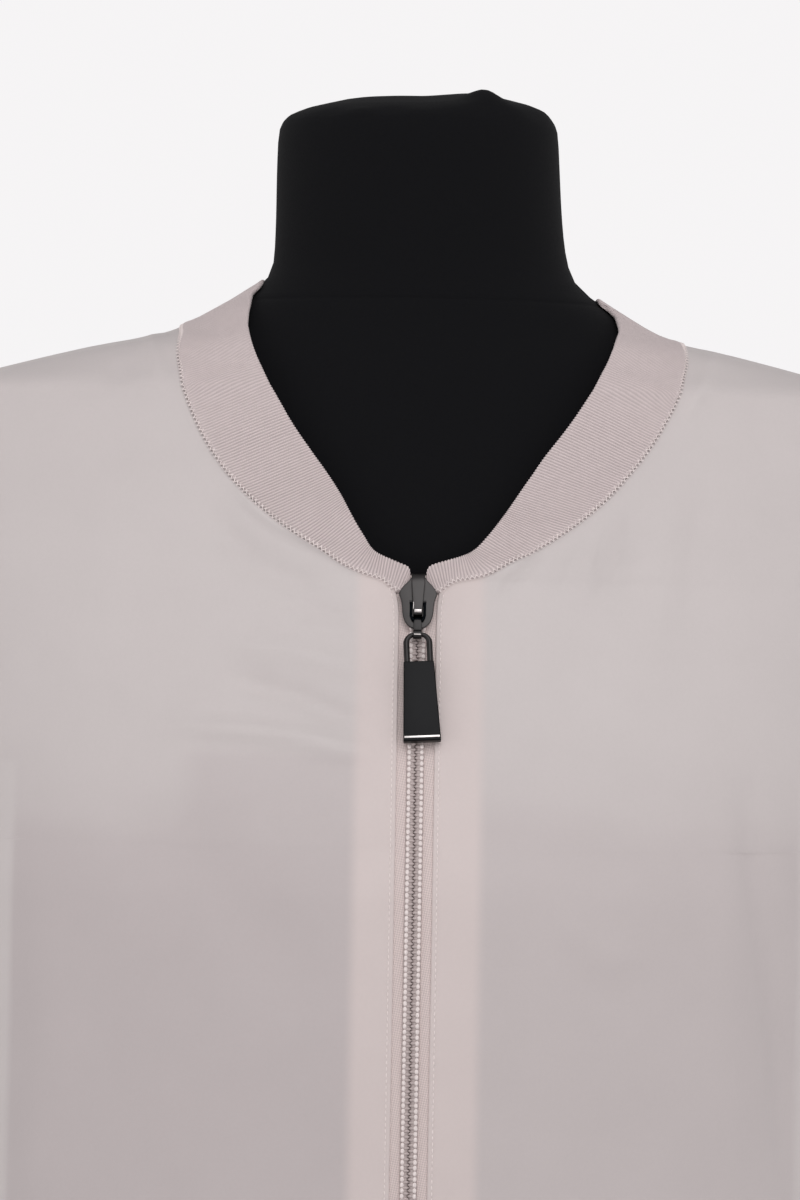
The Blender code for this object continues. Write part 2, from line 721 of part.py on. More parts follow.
def make_slider():
    """Two plates on a post, with an open crown over the link's bar."""
    outline = both_sides(PLATE_OUTLINE)
    front = slab("front_plate", outline, PLATE_WALL, "n", FRONT_PLATE_N, "gunmetal")
    back = slab("back_plate", outline, PLATE_WALL, "n", BACK_PLATE_N, "gunmetal")
    post = box_between(
        "post",
        (-POST_HALF, BACK_PLATE_N + PLATE_WALL / 2, POST_LOW),
        (POST_HALF, FRONT_PLATE_N + PLATE_WALL / 2, POST_HIGH),
        "gunmetal",
    )
    foot_n = FRONT_PLATE_N + PLATE_WALL / 2
    under_n = CROWN_HEIGHT - CROWN_WALL
    over = [(row.n, row.z) for row in CROWN_OUTLINE]
    under = [(0.0, CROWN_FOOT), (under_n, CROWN_FOOT), (under_n, CROWN_HEAD), (0.0, CROWN_HEAD)]
    crown = [(foot_n + n, z) for n, z in over + under]
    bridge = slab("bridge", crown, 2 * CROWN_HALF, "x", -CROWN_HALF, "gunmetal")
    slider = joined("zip_slider", [front, back, post, bridge], "gunmetal")
    set_on_zip(slider)
    return slider


def make_link():
    """A flat link with a wide hole for the crown, a bar under it and a curled eye for the pull."""
    half_n = LINK_WALL / 2
    arms_foot = TAB_HINGE - LINK_HINGE
    plate = slab("link_plate", both_sides(LINK_OUTLINE), LINK_WALL, "n", -half_n, "gunmetal")
    hole = slab(
        "link_hole", both_sides(LINK_HOLE), 4 * LINK_WALL, "n", -2 * LINK_WALL, "gunmetal"
    )
    plate = cut(plate, hole)
    bar = cylinder_along_x("link_bar", LINK_BAR, LINK_ARM_OUT, 0.0, 0.0, "gunmetal", 16)
    eye = cylinder_along_x("link_eye", EYE_OUTER, EYE_HALF, 0.0, arms_foot, "gunmetal", 24)
    link = joined("pull_link", [plate, bar, eye], "gunmetal")
    bore = cylinder_along_x("bore", EYE_BORE, 2 * EYE_HALF, 0.0, arms_foot, "gunmetal", 24)
    link = cut(link, bore)
    set_on_zip(link, HINGE_N, LINK_HINGE)
    return link


def bail_tube():
    """The pull's round bail, thin where it runs through the link's eye."""
    straight = BAIL_HALF - BAIL_BEND
    points = [(0.0, 0.0, BAIL_THIN)]
    for i in range(BAIL_STEPS + 1):
        angle = math.pi / 2 * i / BAIL_STEPS
        radius = BAIL_THIN + (BAIL_THICK - BAIL_THIN) * i / BAIL_STEPS
        points.append(
            (straight + BAIL_BEND * math.sin(angle), -BAIL_BEND * (1 - math.cos(angle)), radius)
        )
    points.append((BAIL_HALF, TAB_TOP - BAIL_SUNK, BAIL_THICK))
    whole = [(-x, z, radius) for x, z, radius in reversed(points[1:])] + points
    curve = bpy.data.curves.new("bail", "CURVE")
    curve.dimensions = "3D"
    curve.bevel_depth = 1.0
    curve.bevel_resolution = 2
    curve.use_fill_caps = True
    spline = curve.splines.new("POLY")
    spline.points.add(len(whole) - 1)
    for point, (x, z, radius) in zip(spline.points, whole):
        point.co = (x, 0, z, 1)
        point.radius = radius
    guide = bpy.data.objects.new("bail", curve)
    bpy.data.collections["gilet_on_dress_form"].objects.link(guide)
    bpy.context.view_layer.update()
    graph = bpy.context.evaluated_depsgraph_get()
    mesh = bpy.data.meshes.new_from_object(guide.evaluated_get(graph))
    bpy.data.objects.remove(guide, do_unlink=True)
    shape = bmesh.new()
    shape.from_mesh(mesh)
    bmesh.ops.remove_doubles(shape, verts=shape.verts, dist=1e-6)
    bmesh.ops.recalc_face_normals(shape, faces=shape.faces)
    shape.to_mesh(mesh)
    shape.free()
    return add_object("bail_tube", mesh, "gunmetal")


def make_pull():
    """A padlock-shaped pull: a plate that widens to its foot, under a round bail."""
    foot = TAB_TOP - TAB_LENGTH
    outline = both_sides([(TAB_TOP_HALF, TAB_TOP), (TAB_FOOT_HALF, foot)])
    plate = slab("tab_plate", outline, TAB_WALL, "n", -TAB_WALL / 2, "gunmetal")
    rounding = plate.modifiers.new("edges", "BEVEL")
    rounding.width = TAB_EDGE
    rounding.segments = 2
    bpy.context.view_layer.update()
    graph = bpy.context.evaluated_depsgraph_get()
    plate.data = bpy.data.meshes.new_from_object(plate.evaluated_get(graph))
    plate.modifiers.clear()
    pull = joined("pull_tab", [plate, bail_tube()], "gunmetal")
    set_on_zip(pull, HINGE_N, TAB_HINGE, TAB_TILT)
    return pull


def make_zip_ends():
    """The stops over the slider, and the box and pin at the hem."""
    width, wall, height = STOP_SIZE
    for side, wearer in ((1, "left"), (-1, "right")):
        low, high = sorted((side * STOP_INNER, side * (STOP_INNER + width)))
        stop = box_between(
            f"zip_stop_{wearer}", (low, 0.0, 0.0), (high, wall, height), "zip_coil"
        )
        point, back = zip_place(SLIDER_Z)
        stop.matrix_world = (
            Matrix.Translation(point)
            @ Matrix.Rotation(-back, 4, "X")
            @ Matrix.Translation((0, 0, STOP_ABOVE))
        )
    width, wall, height = BOX_SIZE
    middle_z = BOX_Z + height / 2
    point, back = zip_place(middle_z)
    frame = Matrix.Translation(point) @ Matrix.Rotation(-back, 4, "X")
    box = box_between(
        "zip_box", (-width / 2, 0.0, -height / 2), (width / 2, wall, height / 2), "zip_coil"
    )
    box.matrix_world = frame
    pin = box_between(
        "zip_pin",
        (CHAIN_INNER, 0.0, height / 2 + SEAM_GAP),
        (CHAIN_OUTER, CHAIN_WALL, CHAIN_LOW_Z - SEAM_GAP - middle_z),
        "zip_coil",
    )
    pin.matrix_world = frame


def make_form():
    """The form's skin through its sections, rounded over at the neck, with a flat underside."""
    low, high = BASE_WALL + SEAM_GAP, FORM_SECTIONS[-1].z
    shoulder_rows = [row.z for row in FORM_SECTIONS if SHOULDER_ROWS_Z < row.z < high]
    count = round((shoulder_rows[0] - low) / FORM_STEP)
    heights = rising(low, shoulder_rows[0], count) + shoulder_rows + [high]
    rings = [
        [point_on(section_at(FORM_SECTIONS, z), 2 * math.pi * i / FORM_TURNS) for i in range(FORM_TURNS)]
        for z in heights
    ]
    for i in range(1, NECK_STEPS + 1):
        angle = math.pi / 2 * i / NECK_STEPS
        z = high + (NECK_TOP_Z - high) * math.sin(angle)
        section = FORM_SECTIONS[-1]
        inset = NECK_ROUNDING * (1 - math.cos(angle))
        section = Section(
            z, section.half_width - inset, section.front - inset, section.back - inset, section.power
        )
        rings.append([point_on(section, 2 * math.pi * k / FORM_TURNS) for k in range(FORM_TURNS)])
    shape = bmesh.new()
    rows = [[shape.verts.new(point) for point in ring] for ring in rings]
    for lower, upper in zip(rows, rows[1:]):
        for i in range(FORM_TURNS):
            j = (i + 1) % FORM_TURNS
            shape.faces.new((lower[i], lower[j], upper[j], upper[i]))
    shape.faces.new(rows[0][::-1])
    shape.faces.new(rows[-1])
    mesh = bpy.data.meshes.new("dress_form")
    shape.to_mesh(mesh)
    shape.free()
    return add_object("dress_form", mesh, "form_jersey")


def make_base():
    """The oval board under the form."""
    section = FORM_SECTIONS[0]
    section = Section(
        0.0, section.half_width - BASE_INSET, section.front - BASE_INSET,
        section.back - BASE_INSET, section.power,
    )
    shape = bmesh.new()
    ring = [
        shape.verts.new(point_on(section, 2 * math.pi * i / FORM_TURNS)) for i in range(FORM_TURNS)
    ]
    face = shape.faces.new(ring)
    pushed = bmesh.ops.extrude_face_region(shape, geom=[face])
    moved = [item for item in pushed["geom"] if isinstance(item, bmesh.types.BMVert)]
    bmesh.ops.translate(shape, verts=moved, vec=(0, 0, BASE_WALL))
    bmesh.ops.recalc_face_normals(shape, faces=shape.faces)
    mesh = bpy.data.meshes.new("form_base")
    shape.to_mesh(mesh)
    shape.free()
    return add_object("form_base", mesh, "form_board")


def main():
    clear_scene()
    collection = bpy.data.collections.new("gilet_on_dress_form")
    bpy.context.scene.collection.children.link(collection)
    make_form()
    make_base()
    make_front("front_left", 1)
    make_front("front_right", -1)
    make_back()
    make_neckband()
    make_zip_strips()
    make_slider()
    make_link()
    make_pull()
    make_zip_ends()


main()
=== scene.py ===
"""The looks of a straight zipped gilet with a rib neckband, on its dress form.

It builds the cloth, the knit, the zip, the form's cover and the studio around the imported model.
Metres, +Z up, the front faces -Y, left and right are the wearer's (left is +X).
"""

import math
from collections import namedtuple

import bmesh
import bpy
import numpy as np
from mathutils import Matrix, Vector


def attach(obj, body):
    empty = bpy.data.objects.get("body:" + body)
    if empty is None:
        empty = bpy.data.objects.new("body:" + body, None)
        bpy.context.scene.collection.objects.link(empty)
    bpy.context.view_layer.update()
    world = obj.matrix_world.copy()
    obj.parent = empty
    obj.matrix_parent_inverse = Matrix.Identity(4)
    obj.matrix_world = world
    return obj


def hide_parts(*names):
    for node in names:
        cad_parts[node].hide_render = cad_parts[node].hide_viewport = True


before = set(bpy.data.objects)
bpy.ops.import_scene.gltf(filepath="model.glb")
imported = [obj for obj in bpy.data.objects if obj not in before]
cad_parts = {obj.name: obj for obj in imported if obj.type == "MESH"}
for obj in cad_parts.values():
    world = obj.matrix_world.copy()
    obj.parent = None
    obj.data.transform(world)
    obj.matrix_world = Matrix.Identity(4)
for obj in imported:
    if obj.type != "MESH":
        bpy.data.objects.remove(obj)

bl_info = {
    "name": "Gilet on dress form",
    "version": (1, 0, 0),
    "blender": (4, 5, 0),
    "location": "View3D > Sidebar > Gilet",
    "description": "Builds a zipped gilet with a rib neckband on a dress form",
    "category": "Object",
}

MM = 0.001
MAIN, LINK, PULL = "gilet_on_form", "link", "pull"

# Heights of the gilet's edges
HEM_Z, UNDERARM_Z, SHOULDER_TIP_Z = 0.110, 0.500, 0.6755

# Centre front and neckline, as in the solids, and the armholes' depth in degrees
CENTRE_X, NECK_LEAN = 2.8 * MM, 4.2 * MM
LEAN_FROM_Z, LEAN_TO_Z = 0.600, 0.690
FRONT_EDGE = 7.5 * MM
FRONT_TOP_Z, FLARE_RUN = 0.6009, 3.6 * MM  # near the slider the front edges swing outwards
FLARE = {1: 3.0 * MM, -1: 4.6 * MM}
NECK_HALF, NECK_DEPTH, NECK_MIDDLE_Z, NECK_POWER = 0.098, 0.0885, 0.690, 1.7
BACK_NECK_Z, BACK_BAND_Z = 0.676, 0.7065
FRONT_ARMHOLE, BACK_ARMHOLE, ARMHOLE_POWER = 26.0, 20.0, 0.8
SEAM_HALF = 0.05 * MM  # from a side or shoulder line to each panel's edge
REST_GAP = 1.3 * MM
CHEST_EASE, BACK_EASE, SHOULDER_FULLNESS = 4.5 * MM, 4.0 * MM, 0.12
SHOULDER_FROM_Z = 0.680

# Cloth: layers over the solids' inner face, and the radius of a turned edge
CLOTH_OFF, CLOTH_WALL = 0.85 * MM, 0.35 * MM
TURN_RADIUS = 0.35 * MM
BAND_STAND_OFF, BAND_WALL = 1.0 * MM, 1.6 * MM
BAND_HUG, HUG_FROM_Z, HUG_TO_Z = 2.0 * MM, 0.694, 0.708  # at the shoulders it draws in to the neck
RIB_PITCH, RIB_HEIGHT = 1.15 * MM, 0.40 * MM
# The ribs' depth and its slow changes along the band. Over the shoulders they are stretched flat.
RIB_SHARE, RIB_DRIFT, RIB_DRIFT_RUNS = 0.88, 0.08, (13.0 * MM, 5.2 * MM)
RIB_SMOOTH_Z, RIB_SMOOTH_RUN, RIB_SMOOTH_SHARE = 0.690, 0.040, 0.35

# Zip
TAPE_INNER, TAPE_OUTER, TAPE_OFF, TAPE_WALL = 1.4 * MM, 15.0 * MM, -0.95 * MM, 0.6 * MM
TAPE_TOP_Z = 0.6035
TAPE_BOW = [(1.4, 0), (4, 0.15), (7.5, 0.5), (15, 0.2)]  # from the zip's middle, and how far it stands out
FACING_FROM, FACING_TO, FACING_OFF, FACING_WALL = 7.9 * MM, 26.0 * MM, -2.2 * MM, 0.8 * MM
CHAIN_LOW_Z, CHAIN_TOP_Z, BEAD_PITCH = 0.1265, 0.5925, 2.1 * MM
SLIDER_Z = 0.5930

# Form
FORM_LOW_Z = 12.3 * MM
NECK_TOP_Z, NECK_ROUNDING = 0.7925, 9.0 * MM
NECK_SEAM_Z, NECK_SEAM_DEPTH, NECK_SEAM_WIDTH = 0.7105, 0.5 * MM, 0.7 * MM

# Camera: the photograph's place, reach and slight turn
SENSOR = 36.0
CAMERA_X, CAMERA_Z, CAMERA_AWAY, CAMERA_TALL, CAMERA_ROLL = -0.004, 0.594, 2.1, 0.474, 1.0

# Studio: the floor pales into the backdrop between these distances from the form, up to this share of it
FLOOR_SIZE, FLOOR_COLOUR, FLOOR_RISE, FLOOR_GLOW = 30.0, (0.86, 0.855, 0.855), (0.9, 3.2), 0.62
SKY_COLOUR = (1.0, 0.985, 0.992)
LAMPS = [  # name, place, size, and power as a share of the key light's
    ("key", (0.3, -1.9, 2.3), 2.2, 1.0),
    ("left", (-2.2, -0.9, 1.0), 1.4, 0.28),
    ("right", (2.2, -0.9, 1.0), 1.4, 0.17),
]
LAMP_AIM = (0, 0, 0.5)

Section = namedtuple("Section", "z half_width front back power")
Fold = namedtuple("Fold", "turn spread out from_z")
Crease = namedtuple("Crease", "width out path")


def sections(*rows):
    """Cross-sections from rows: height, half width, reach to front and back in millimetres, and power."""
    return [Section(*(length * MM for length in row[:4]), row[4]) for row in rows]


FORM_SECTIONS = sections(
    (0, 152, 98, 104, 2.30),
    (70, 164, 106, 114, 2.30),
    (130, 165, 105, 115, 2.30),
    (220, 144, 95, 93, 2.20),
    (300, 120, 87, 76, 2.15),
    (370, 132, 95, 84, 2.15),
    (430, 150, 112, 93, 2.20),
    (470, 155.5, 119, 97, 2.25),
    (510, 155, 113, 101, 2.25),
    (540, 155.5, 103.5, 104, 2.25),
    (570, 159, 92.5, 105, 2.25),
    (600, 165, 82, 103, 2.15),
    (630, 170.5, 72, 98, 2.05),
    (655, 172.5, 65, 91, 1.90),
    (672, 169, 61, 86, 1.70),
    (681.5, 160, 59, 83, 1.58),
    (689.5, 128, 56.5, 79, 1.70),
    (695.8, 98.5, 54.5, 75.5, 1.85),
    (707.2, 77.2, 52, 71.2, 2.00),
    (712.9, 69, 51, 69, 2.00),
    (717.6, 62.8, 50.5, 67.5, 2.00),
    (723, 59.3, 50, 66, 2.00),
    (729.5, 57.7, 49.7, 65, 2.00),
    (745, 56.5, 49.5, 63, 2.00),
    (765, 55.8, 49.2, 62, 2.00),
    (783.5, 55, 49, 61, 2.00),
)
HANGING_SECTIONS = sections(
    (100, 180, 127, 125, 2.25),
    (200, 178, 128, 123, 2.25),
    (320, 177, 129, 118, 2.25),
    (420, 177, 130, 115, 2.25),
    (480, 178, 128, 113, 2.25),
    (510, 179, 120.2, 112, 2.20),
    (540, 181, 109.3, 111, 2.20),
    (570, 183.5, 98.4, 110.5, 2.15),
    (600, 186.5, 87.5, 109, 2.10),
    (630, 189, 76.6, 104.5, 1.95),
    (655, 190, 70, 96.5, 1.92),
    (674, 190, 65.5, 89, 1.76),
)
# How far the neck's foot sits to the wearer's left, by height
FORM_LEAN = [(690, 0), (704, 1.8), (712, 2.4), (722, 2.2), (736, 1.3), (760, 0.4), (780, 0)]

# Soft folds of the hanging cloth: degrees round the body, spread in degrees, how far each stands out at the
# hem, and the height it starts from
FOLDS = [Fold(turn, spread, out * MM, top * MM) for turn, spread, out, top in (
    (24, 11, -3, 400), (43, 12, 8, 450), (62, 9, -4, 440), (78, 9, 5, 470), (103, 10, 6, 490),
    (124, 11, -3, 460), (147, 14, 9, 520), (178, 14, -3, 480), (-27, 12, -3, 390), (-47, 13, 9, 460),
    (-70, 10, -3, 420), (-84, 9, 5, 450), (-108, 11, 5, 480), (-131, 12, 4, 500), (-155, 13, 7, 530),
)]

# Creases laid on the fronts: width, how far each stands out, and places across and up along it
FRONT_CREASES = [Crease(width * MM, out * MM, np.array(path) * MM) for width, out, path in (
    # the seam allowance under the neckline, in a soft step beside the band
    (2.6, 1.9, [
        (-71, 642), (-65, 633.3), (-57.4, 625.9), (-49.8, 620.7), (-38.4, 615.6), (-30.9, 612.7),
        (-17, 607),
    ]),
    (6, -2.4, [(-79, 634), (-70, 618), (-58, 606), (-43, 600), (-26.5, 592)]),
    # drag lines beside the zip's top
    (4, -1.4, [(-48, 590.5), (-20, 586)]),
    (5, 2, [(-74, 577), (-41, 573.5), (-30, 570), (-10, 565)]),
    (4.5, -2.7, [(-74, 565), (-41, 557.5), (-30, 552.5), (-10, 545.5)]),
    (4.5, 3, [(-96, 545.5), (-60, 543.5), (-41, 541.8), (-26, 538), (-4, 535)]),
    (2.4, 0.9, [(27, 596), (44, 613)]),
    (2.4, -1.1, [(33.5, 595), (49, 614)]),
    (3.5, 1.3, [(64, 590), (70, 612), (74.5, 634)]),
    (3.8, -1.4, [(78, 594), (81.2, 614), (84, 632)]),
    (4, -0.7, [(50, 588), (58, 602), (64, 622)]),
    (7, 0.7, [(94, 555), (96, 610), (104, 655)]),
    (7, -0.8, [(107, 560), (108, 612), (115, 655)]),
    (9, -0.7, [(60, 540), (68, 580), (80, 630)]),
    # the shoulders' seam allowances
    (3, 1, [(-104, 700), (-101, 688), (-96, 676)]),
    (3, 1, [(118, 696), (113, 682), (104, 664)]),
    (5, -1.2, [(-150, 672), (-120, 676), (-102, 684)]),
    # hollows and swells lower down
    (14, -2, [(-120, 520), (-80, 500), (-52, 470), (-40, 430)]),
    (14, 1.6, [(-140, 560), (-115, 600), (-112, 650)]),
    (6, -2.2, [(127.5, 548), (131, 500), (141, 440), (149, 360)]),
    (9, 1.6, [(116, 500), (120, 440), (126, 350)]),
    (10, 1.4, [(-140, 500), (-134, 420), (-140, 330)]),
    (8, 1.4, [(56, 482), (70, 464), (92, 458)]),
    (16, 2, [(-60, 400), (-75, 330), (-80, 240)]),
    (18, 2.2, [(70, 380), (80, 300), (78, 200)]),
)]

# Free edge of the neckband in front: height and distance from the gilet's middle
BAND_EDGE = [
    (606.5, 4.5), (611.3, 15.7), (617.1, 22), (640.4, 37.3), (663.9, 53.8), (687.6, 67.7), (699.3, 71.4),
    (712, 70), (722, 69),
]

# How much further out the free edge lies on the wearer's left, 1, and right, -1, by height
EDGE_OUT = {
    1: [
        (606.5, 1.2), (611.3, 4.0), (617.1, 3.5), (630.5, 3.4), (640.4, 3.1), (650, 2.1), (664, 1.9),
        (676, 1.2), (687.6, 0.6), (693.0, 0.5), (699.3, 0.8), (705.7, 0.9), (709.0, -1.2), (712.5, -4.6),
        (722, -4.5),
    ],
    -1: [
        (606.5, 2.2), (611.3, 1.5), (617.1, -0.3), (630.5, -1.0), (640.4, -0.3), (650, 0.6), (664, 1.3),
        (676, 1.2), (687.6, 0.9), (699.3, 0.4), (705.7, 1.2), (712, 1.4), (717, -1.6), (722, -2.0),
    ],
}
# How much lower the neckline lies in front, by distance from the gilet's middle
NECK_DROP = {
    1: [
        (8, 1.2), (10.5, 1.6), (14, 2.1), (18, 2.7), (22, 3.2), (26, 3.4), (36, 2.3), (50, 2.4), (66, 2.3),
        (80, 1.0), (92, 0),
    ],
    -1: [(8, 1.2), (12, 1.7), (18, 1.9), (27, 1.6), (37, 0.2), (45, 0)],
}
# Where the same rib meets the sewn and the free edge, by distances from the gilet's middle
RIB_MARKS = [(15.2, 14.0), (21.2, 17.3), (30.9, 20.8), (41.3, 27.5), (58.4, 34.5), (80.0, 52.0)]

# Cross-section of one side of the chain: distance from the zip's middle and height over the cloth's inner face
CHAIN_PROFILE = [(0.10, -0.30), (0.60, 0.25), (1.40, 0.55), (2.30, 0.60), (2.90, 0.35), (3.20, -0.30)]
# Turns of the coil and the stitches over them: distance from the zip's middle, off the cloth's inner face, and
# size across, out and along
TURN_MIDDLE, TURN_OFF, TURN_SIZE = 1.25 * MM, 0.55 * MM, (3.3 * MM, 1.1 * MM, 1.25 * MM)
BEAD_HALF, BEAD_OFF, BEAD_SIZE = 2.35 * MM, 0.95 * MM, (1.55 * MM, 1.0 * MM, 2.0 * MM)

# The dress form's cover, drawn in over the neck's top: distance in from the side, and drop from the top
NECK_TOP = [
    (0, 19), (0.6, 13.5), (1.6, 11), (3.5, 9), (6.5, 7.2), (11, 5.4), (18, 3.6), (27, 1.4), (38, 0.3),
]
TOP_PLEAT, TOP_PLEAT_SIZE, TOP_PLEAT_OUT = (0.0258, -0.030), 7.0 * MM, 3.6 * MM
TOP_RISE, TOP_RISE_RUN, TOP_RISE_INSET = 2.3 * MM, 26 * MM, 5 * MM  # the top is higher on the wearer's left
TOP_WAVE, TOP_WAVE_RUN = 0.3 * MM, 6 * MM

# Slider, link and pull, in the slider's own frame: across, out from the cloth and up, in millimetres
HINGE_N, LINK_HINGE, TAB_HINGE, TAB_TILT = 3.75, -1.0, -14.0, math.radians(3.3)
SLIDER_OUTLINE = [
    (2.9, 9.2), (3.3, 8.2), (4.2, 7.2), (5.4, 6.0), (6.6, 4.4), (7.2, 3.0), (7.1, 2.0), (6.6, 0.8), (6.2, -0.8),
    (6.0, -2.6), (5.9, -4.6), (5.6, -6.4), (5.0, -8.2), (4.1, -9.7), (2.9, -10.8), (1.5, -11.3),
]
CROWN_OUTLINE = [  # out and up, over the top to the foot
    (2.2, 8.0), (3.2, 10.2), (4.3, 10.3), (5.2, 8.9), (5.6, 6.0), (5.8, -4.0), (5.5, -5.6), (4.7, -6.4),
    (2.2, -6.8),
]
CROWN_HALF, CROWN_TOP_HALF, CROWN_FROM_Z, CROWN_TO_Z = 1.75, 2.6, 0.0, 5.0
POST_OUTLINE = [(1.1, 7.8), (1.1, 2.0)]
FOOT_HIGHLIGHT = [(5.84, -4.6), (5.62, -5.6), (5.1, -5.9), (4.9, -4.8)]  # a painted highlight at the crown's foot
EDGE_HIGHLIGHT = [(5.2, -1.6), (5.84, -1.6), (5.84, -4.6), (5.2, -4.6)]  # and a painted highlight at its edge
HOLLOW_SHADOW = [(1.9, -6.6), (1.7, -7.8), (0.9, -8.4)]  # a dark sheet under the crown, a painted shadow
LINK_ARM = [
    (2.1, 0.3), (2.9, 0.3), (3.1, -0.4), (3.1, -5.6), (2.4, -7.4), (1.4, -8.2), (1.0, -7.4), (2.1, -5.6),
]
LINK_SHANK = [(1.2, -7.2), (1.6, -8.4), (1.6, -11.7)]
EYE_IN, EYE_OUT, EYE_HALF = 1.05, 1.85, 1.6  # the link's eye round the bail
PULL_TOP, PULL_FOOT, PULL_TOP_HALF, PULL_FOOT_HALF, PULL_WALL = -11.0, -42.6, 5.7, 7.1, 3.2
BAIL_HALF, BAIL_BEND, BAIL_THIN, BAIL_THICK = 4.35, 3.4, 0.85, 1.15
PULL_EASE = 0.45
PULL_HIGHLIGHT = [(0.08, 2.0), (0.08, 1.25), (-0.3, 1.1), (-0.3, 2.0)]  # a painted highlight: a bright line near the pull's foot
# How much of the bright metal colour each part takes: a lighter tone for the slider and link, and below 0 a
# painted shadow
SLIDER_POLISH, LINK_POLISH, PAINTED_SHADOW_SHARE = 0.06, 0.035, -0.015

# Rows of stitches: distance in from an edge, from one to the next, length and thickness
Stitch = namedtuple("Stitch", "inset pitch length radius")
ZIP_STITCHES = {
    "left": Stitch(1.2 * MM, 2.3 * MM, 1.6 * MM, 0.24 * MM),
    "right": Stitch(1.3 * MM, 2.3 * MM, 1.6 * MM, 0.24 * MM),
}
STITCH_RISE, STITCH_LOW, STITCH_TOP = 0.03 * MM, 3 * MM, 2.5 * MM  # over the cloth, and from its hem and top
HEM_STITCH = Stitch(16.5 * MM, 2.6 * MM, 1.9 * MM, 0.14 * MM)
ARMHOLE_STITCH = Stitch(5.8 * MM, 2.6 * MM, 1.9 * MM, 0.14 * MM)
ARMHOLE_TRIM, ARMHOLE_REACH = 4, 0.13  # samples left out at each end, and the cloth's distance from the middle
NECK_STITCH = Stitch(0.35 * MM, 0.90 * MM, 3.1 * MM, 0.18 * MM)
# Each crosses the seam, to one side and the other by turns
NECK_STITCH_OFF, NECK_STITCH_TURN = 1.75 * MM, math.radians(52)

# How much of the dark form shows through the cloth, by height, and how soft its sides are. The same share also
# paints shade: darker below the bust and again up by the neckband.
SHOW_THROUGH_AND_SHADE = [
    (110, 0.75), (300, 0.85), (440, 1), (495, 1), (504, 0.78), (513, 0.45), (524, 0.3), (545, 0.14),
    (600, 0.1), (660, 0.2), (700, 0.45),
]
# How much higher it starts, by place across
SHOW_THROUGH_AND_SHADE_RISE = [
    (-150, 2), (-110, -1.5), (-80, 1), (-30, 0), (30, 12), (60, 8), (95, 1), (120, 3), (150, 0),
]
# Where the front lies pressed to the form above that, a darker patch in the same mask of show-through and
# painted shade: from and to across, top, softness of sides and top
PRESSED, PRESSED_TOP_Z, PRESSED_SOFT = (-0.090, -0.006), 0.5390, (16.0 * MM, 6.0 * MM)
PRESSED_SHARE, PRESSED_MOST = 0.44, 0.8
SHOW_THROUGH_AND_SHADE_LEFT, FORM_BLUR, FORM_SEEN_HALF, FORM_SEEN_Z = 0.72, 1.6 * MM, 0.1495, 0.530
SHOW_THROUGH_AND_SHADE_BACK, BACK_BLUR = 0.5, 45 * MM  # behind, the cloth hangs further from the form
# The facings behind the fronts: middle and half width of the pair, and their soft edge
FACINGS_AT, FACINGS_HALF, FACING_BLUR = CENTRE_X + 1.1 * MM, 23.7 * MM, 3.0 * MM

# The neckband's tucked ends beside the slider: distance from the zip's middle, and height
SEWN_END = [(3.9, 599.2), (4.8, 597.6), (6.6, 596.8), (8.8, 597.2), (10.6, 598.9), (12.4, 600.4)]
FREE_END = [(3.4, 600.2), (3.2, 602.0), (3.3, 603.9), (3.9, 605.6)]
SEWN_FROM = 15.0 * MM
BAND_ROWS = [  # the outer face at the seam: millimetres from it, and over the cloth's inner face
    (-0.9, 0.20), (0.0, 1.00), (0.25, 1.55), (0.8, 1.95), (1.6, 2.05), (3.0, 1.85),
]
ROW_SHARE, ROW_SHARE_RISE = 0.02, 0.09  # the most of the width that each takes up, and its rise by millimetre
GATHER_REACH = 1.5  # millimetres from the seam to where the ribs reach their depth
BAND_WIDTH = 30 * MM  # for the weave
END_THIN = 0.3  # how thick the band's two ends are, as a share

# Mesh counts
PANEL_COLUMNS, LOWER_ROWS, UPPER_ROWS = 92, 125, 90
TURN_ROWS, RIB_COLUMNS, FACE_ROWS, FORM_TURNS = 7, 4, 10, 120
SAMPLES = 400
MERGE_WITHIN = 0.02 * MM
BAND_SAMPLES, BAND_SOFTENING, END_ROUNDING = 1200, 24, 1.6 * MM
CREASE_FADE = 0.3  # the share of a crease's length in which it fades at each end
LONGEST_STEP = 8 * MM  # in the weave's distances, over which the gaps between rows don't count
EDGE_ROWS, LEAST_STEP = 48, 0.3 * MM
NECK_SQUEEZE = 3.0  # the columns beside the neckline close up over this many times its cut


# Shapes of the form and the cloth, as functions of how far round the body and how high


def smooth_at(heights, values, z):
    """Values at heights z of a smooth curve through rows, which never swings past a row."""
    heights, values = np.asarray(heights, float), np.asarray(values, float)
    steps = np.diff(values) / np.diff(heights)
    slopes = np.concatenate([steps[:1], np.zeros(len(steps) - 1), steps[-1:]])
    before, after = steps[:-1], steps[1:]
    rising = before * after > 0
    slopes[1:-1][rising] = (2 * before * after)[rising] / (before + after)[rising]
    i = np.clip(np.searchsorted(heights, z, side="right") - 1, 0, len(heights) - 2)
    width = heights[i + 1] - heights[i]
    t = np.clip((z - heights[i]) / width, 0, 1)
    return (
        values[i] * (1 + 2 * t) * (1 - t) ** 2
        + values[i + 1] * t * t * (3 - 2 * t)
        + width * slopes[i] * t * (1 - t) ** 2
        - width * slopes[i + 1] * t * t * (1 - t)
    )


def by_rows(rows, at):
    """Values at heights or distances, from rows of pairs in millimetres."""
    places, values = np.array(rows).T * MM
    return smooth_at(places, values, at)


def section_at(rows, z):
    """Half width, reach to the front and the back, and power at heights z."""
    heights = [row.z for row in rows]
    return [smooth_at(heights, [row[k] for row in rows], z) for k in range(1, 5)]


def form_lean(z):
    return by_rows(FORM_LEAN, z)


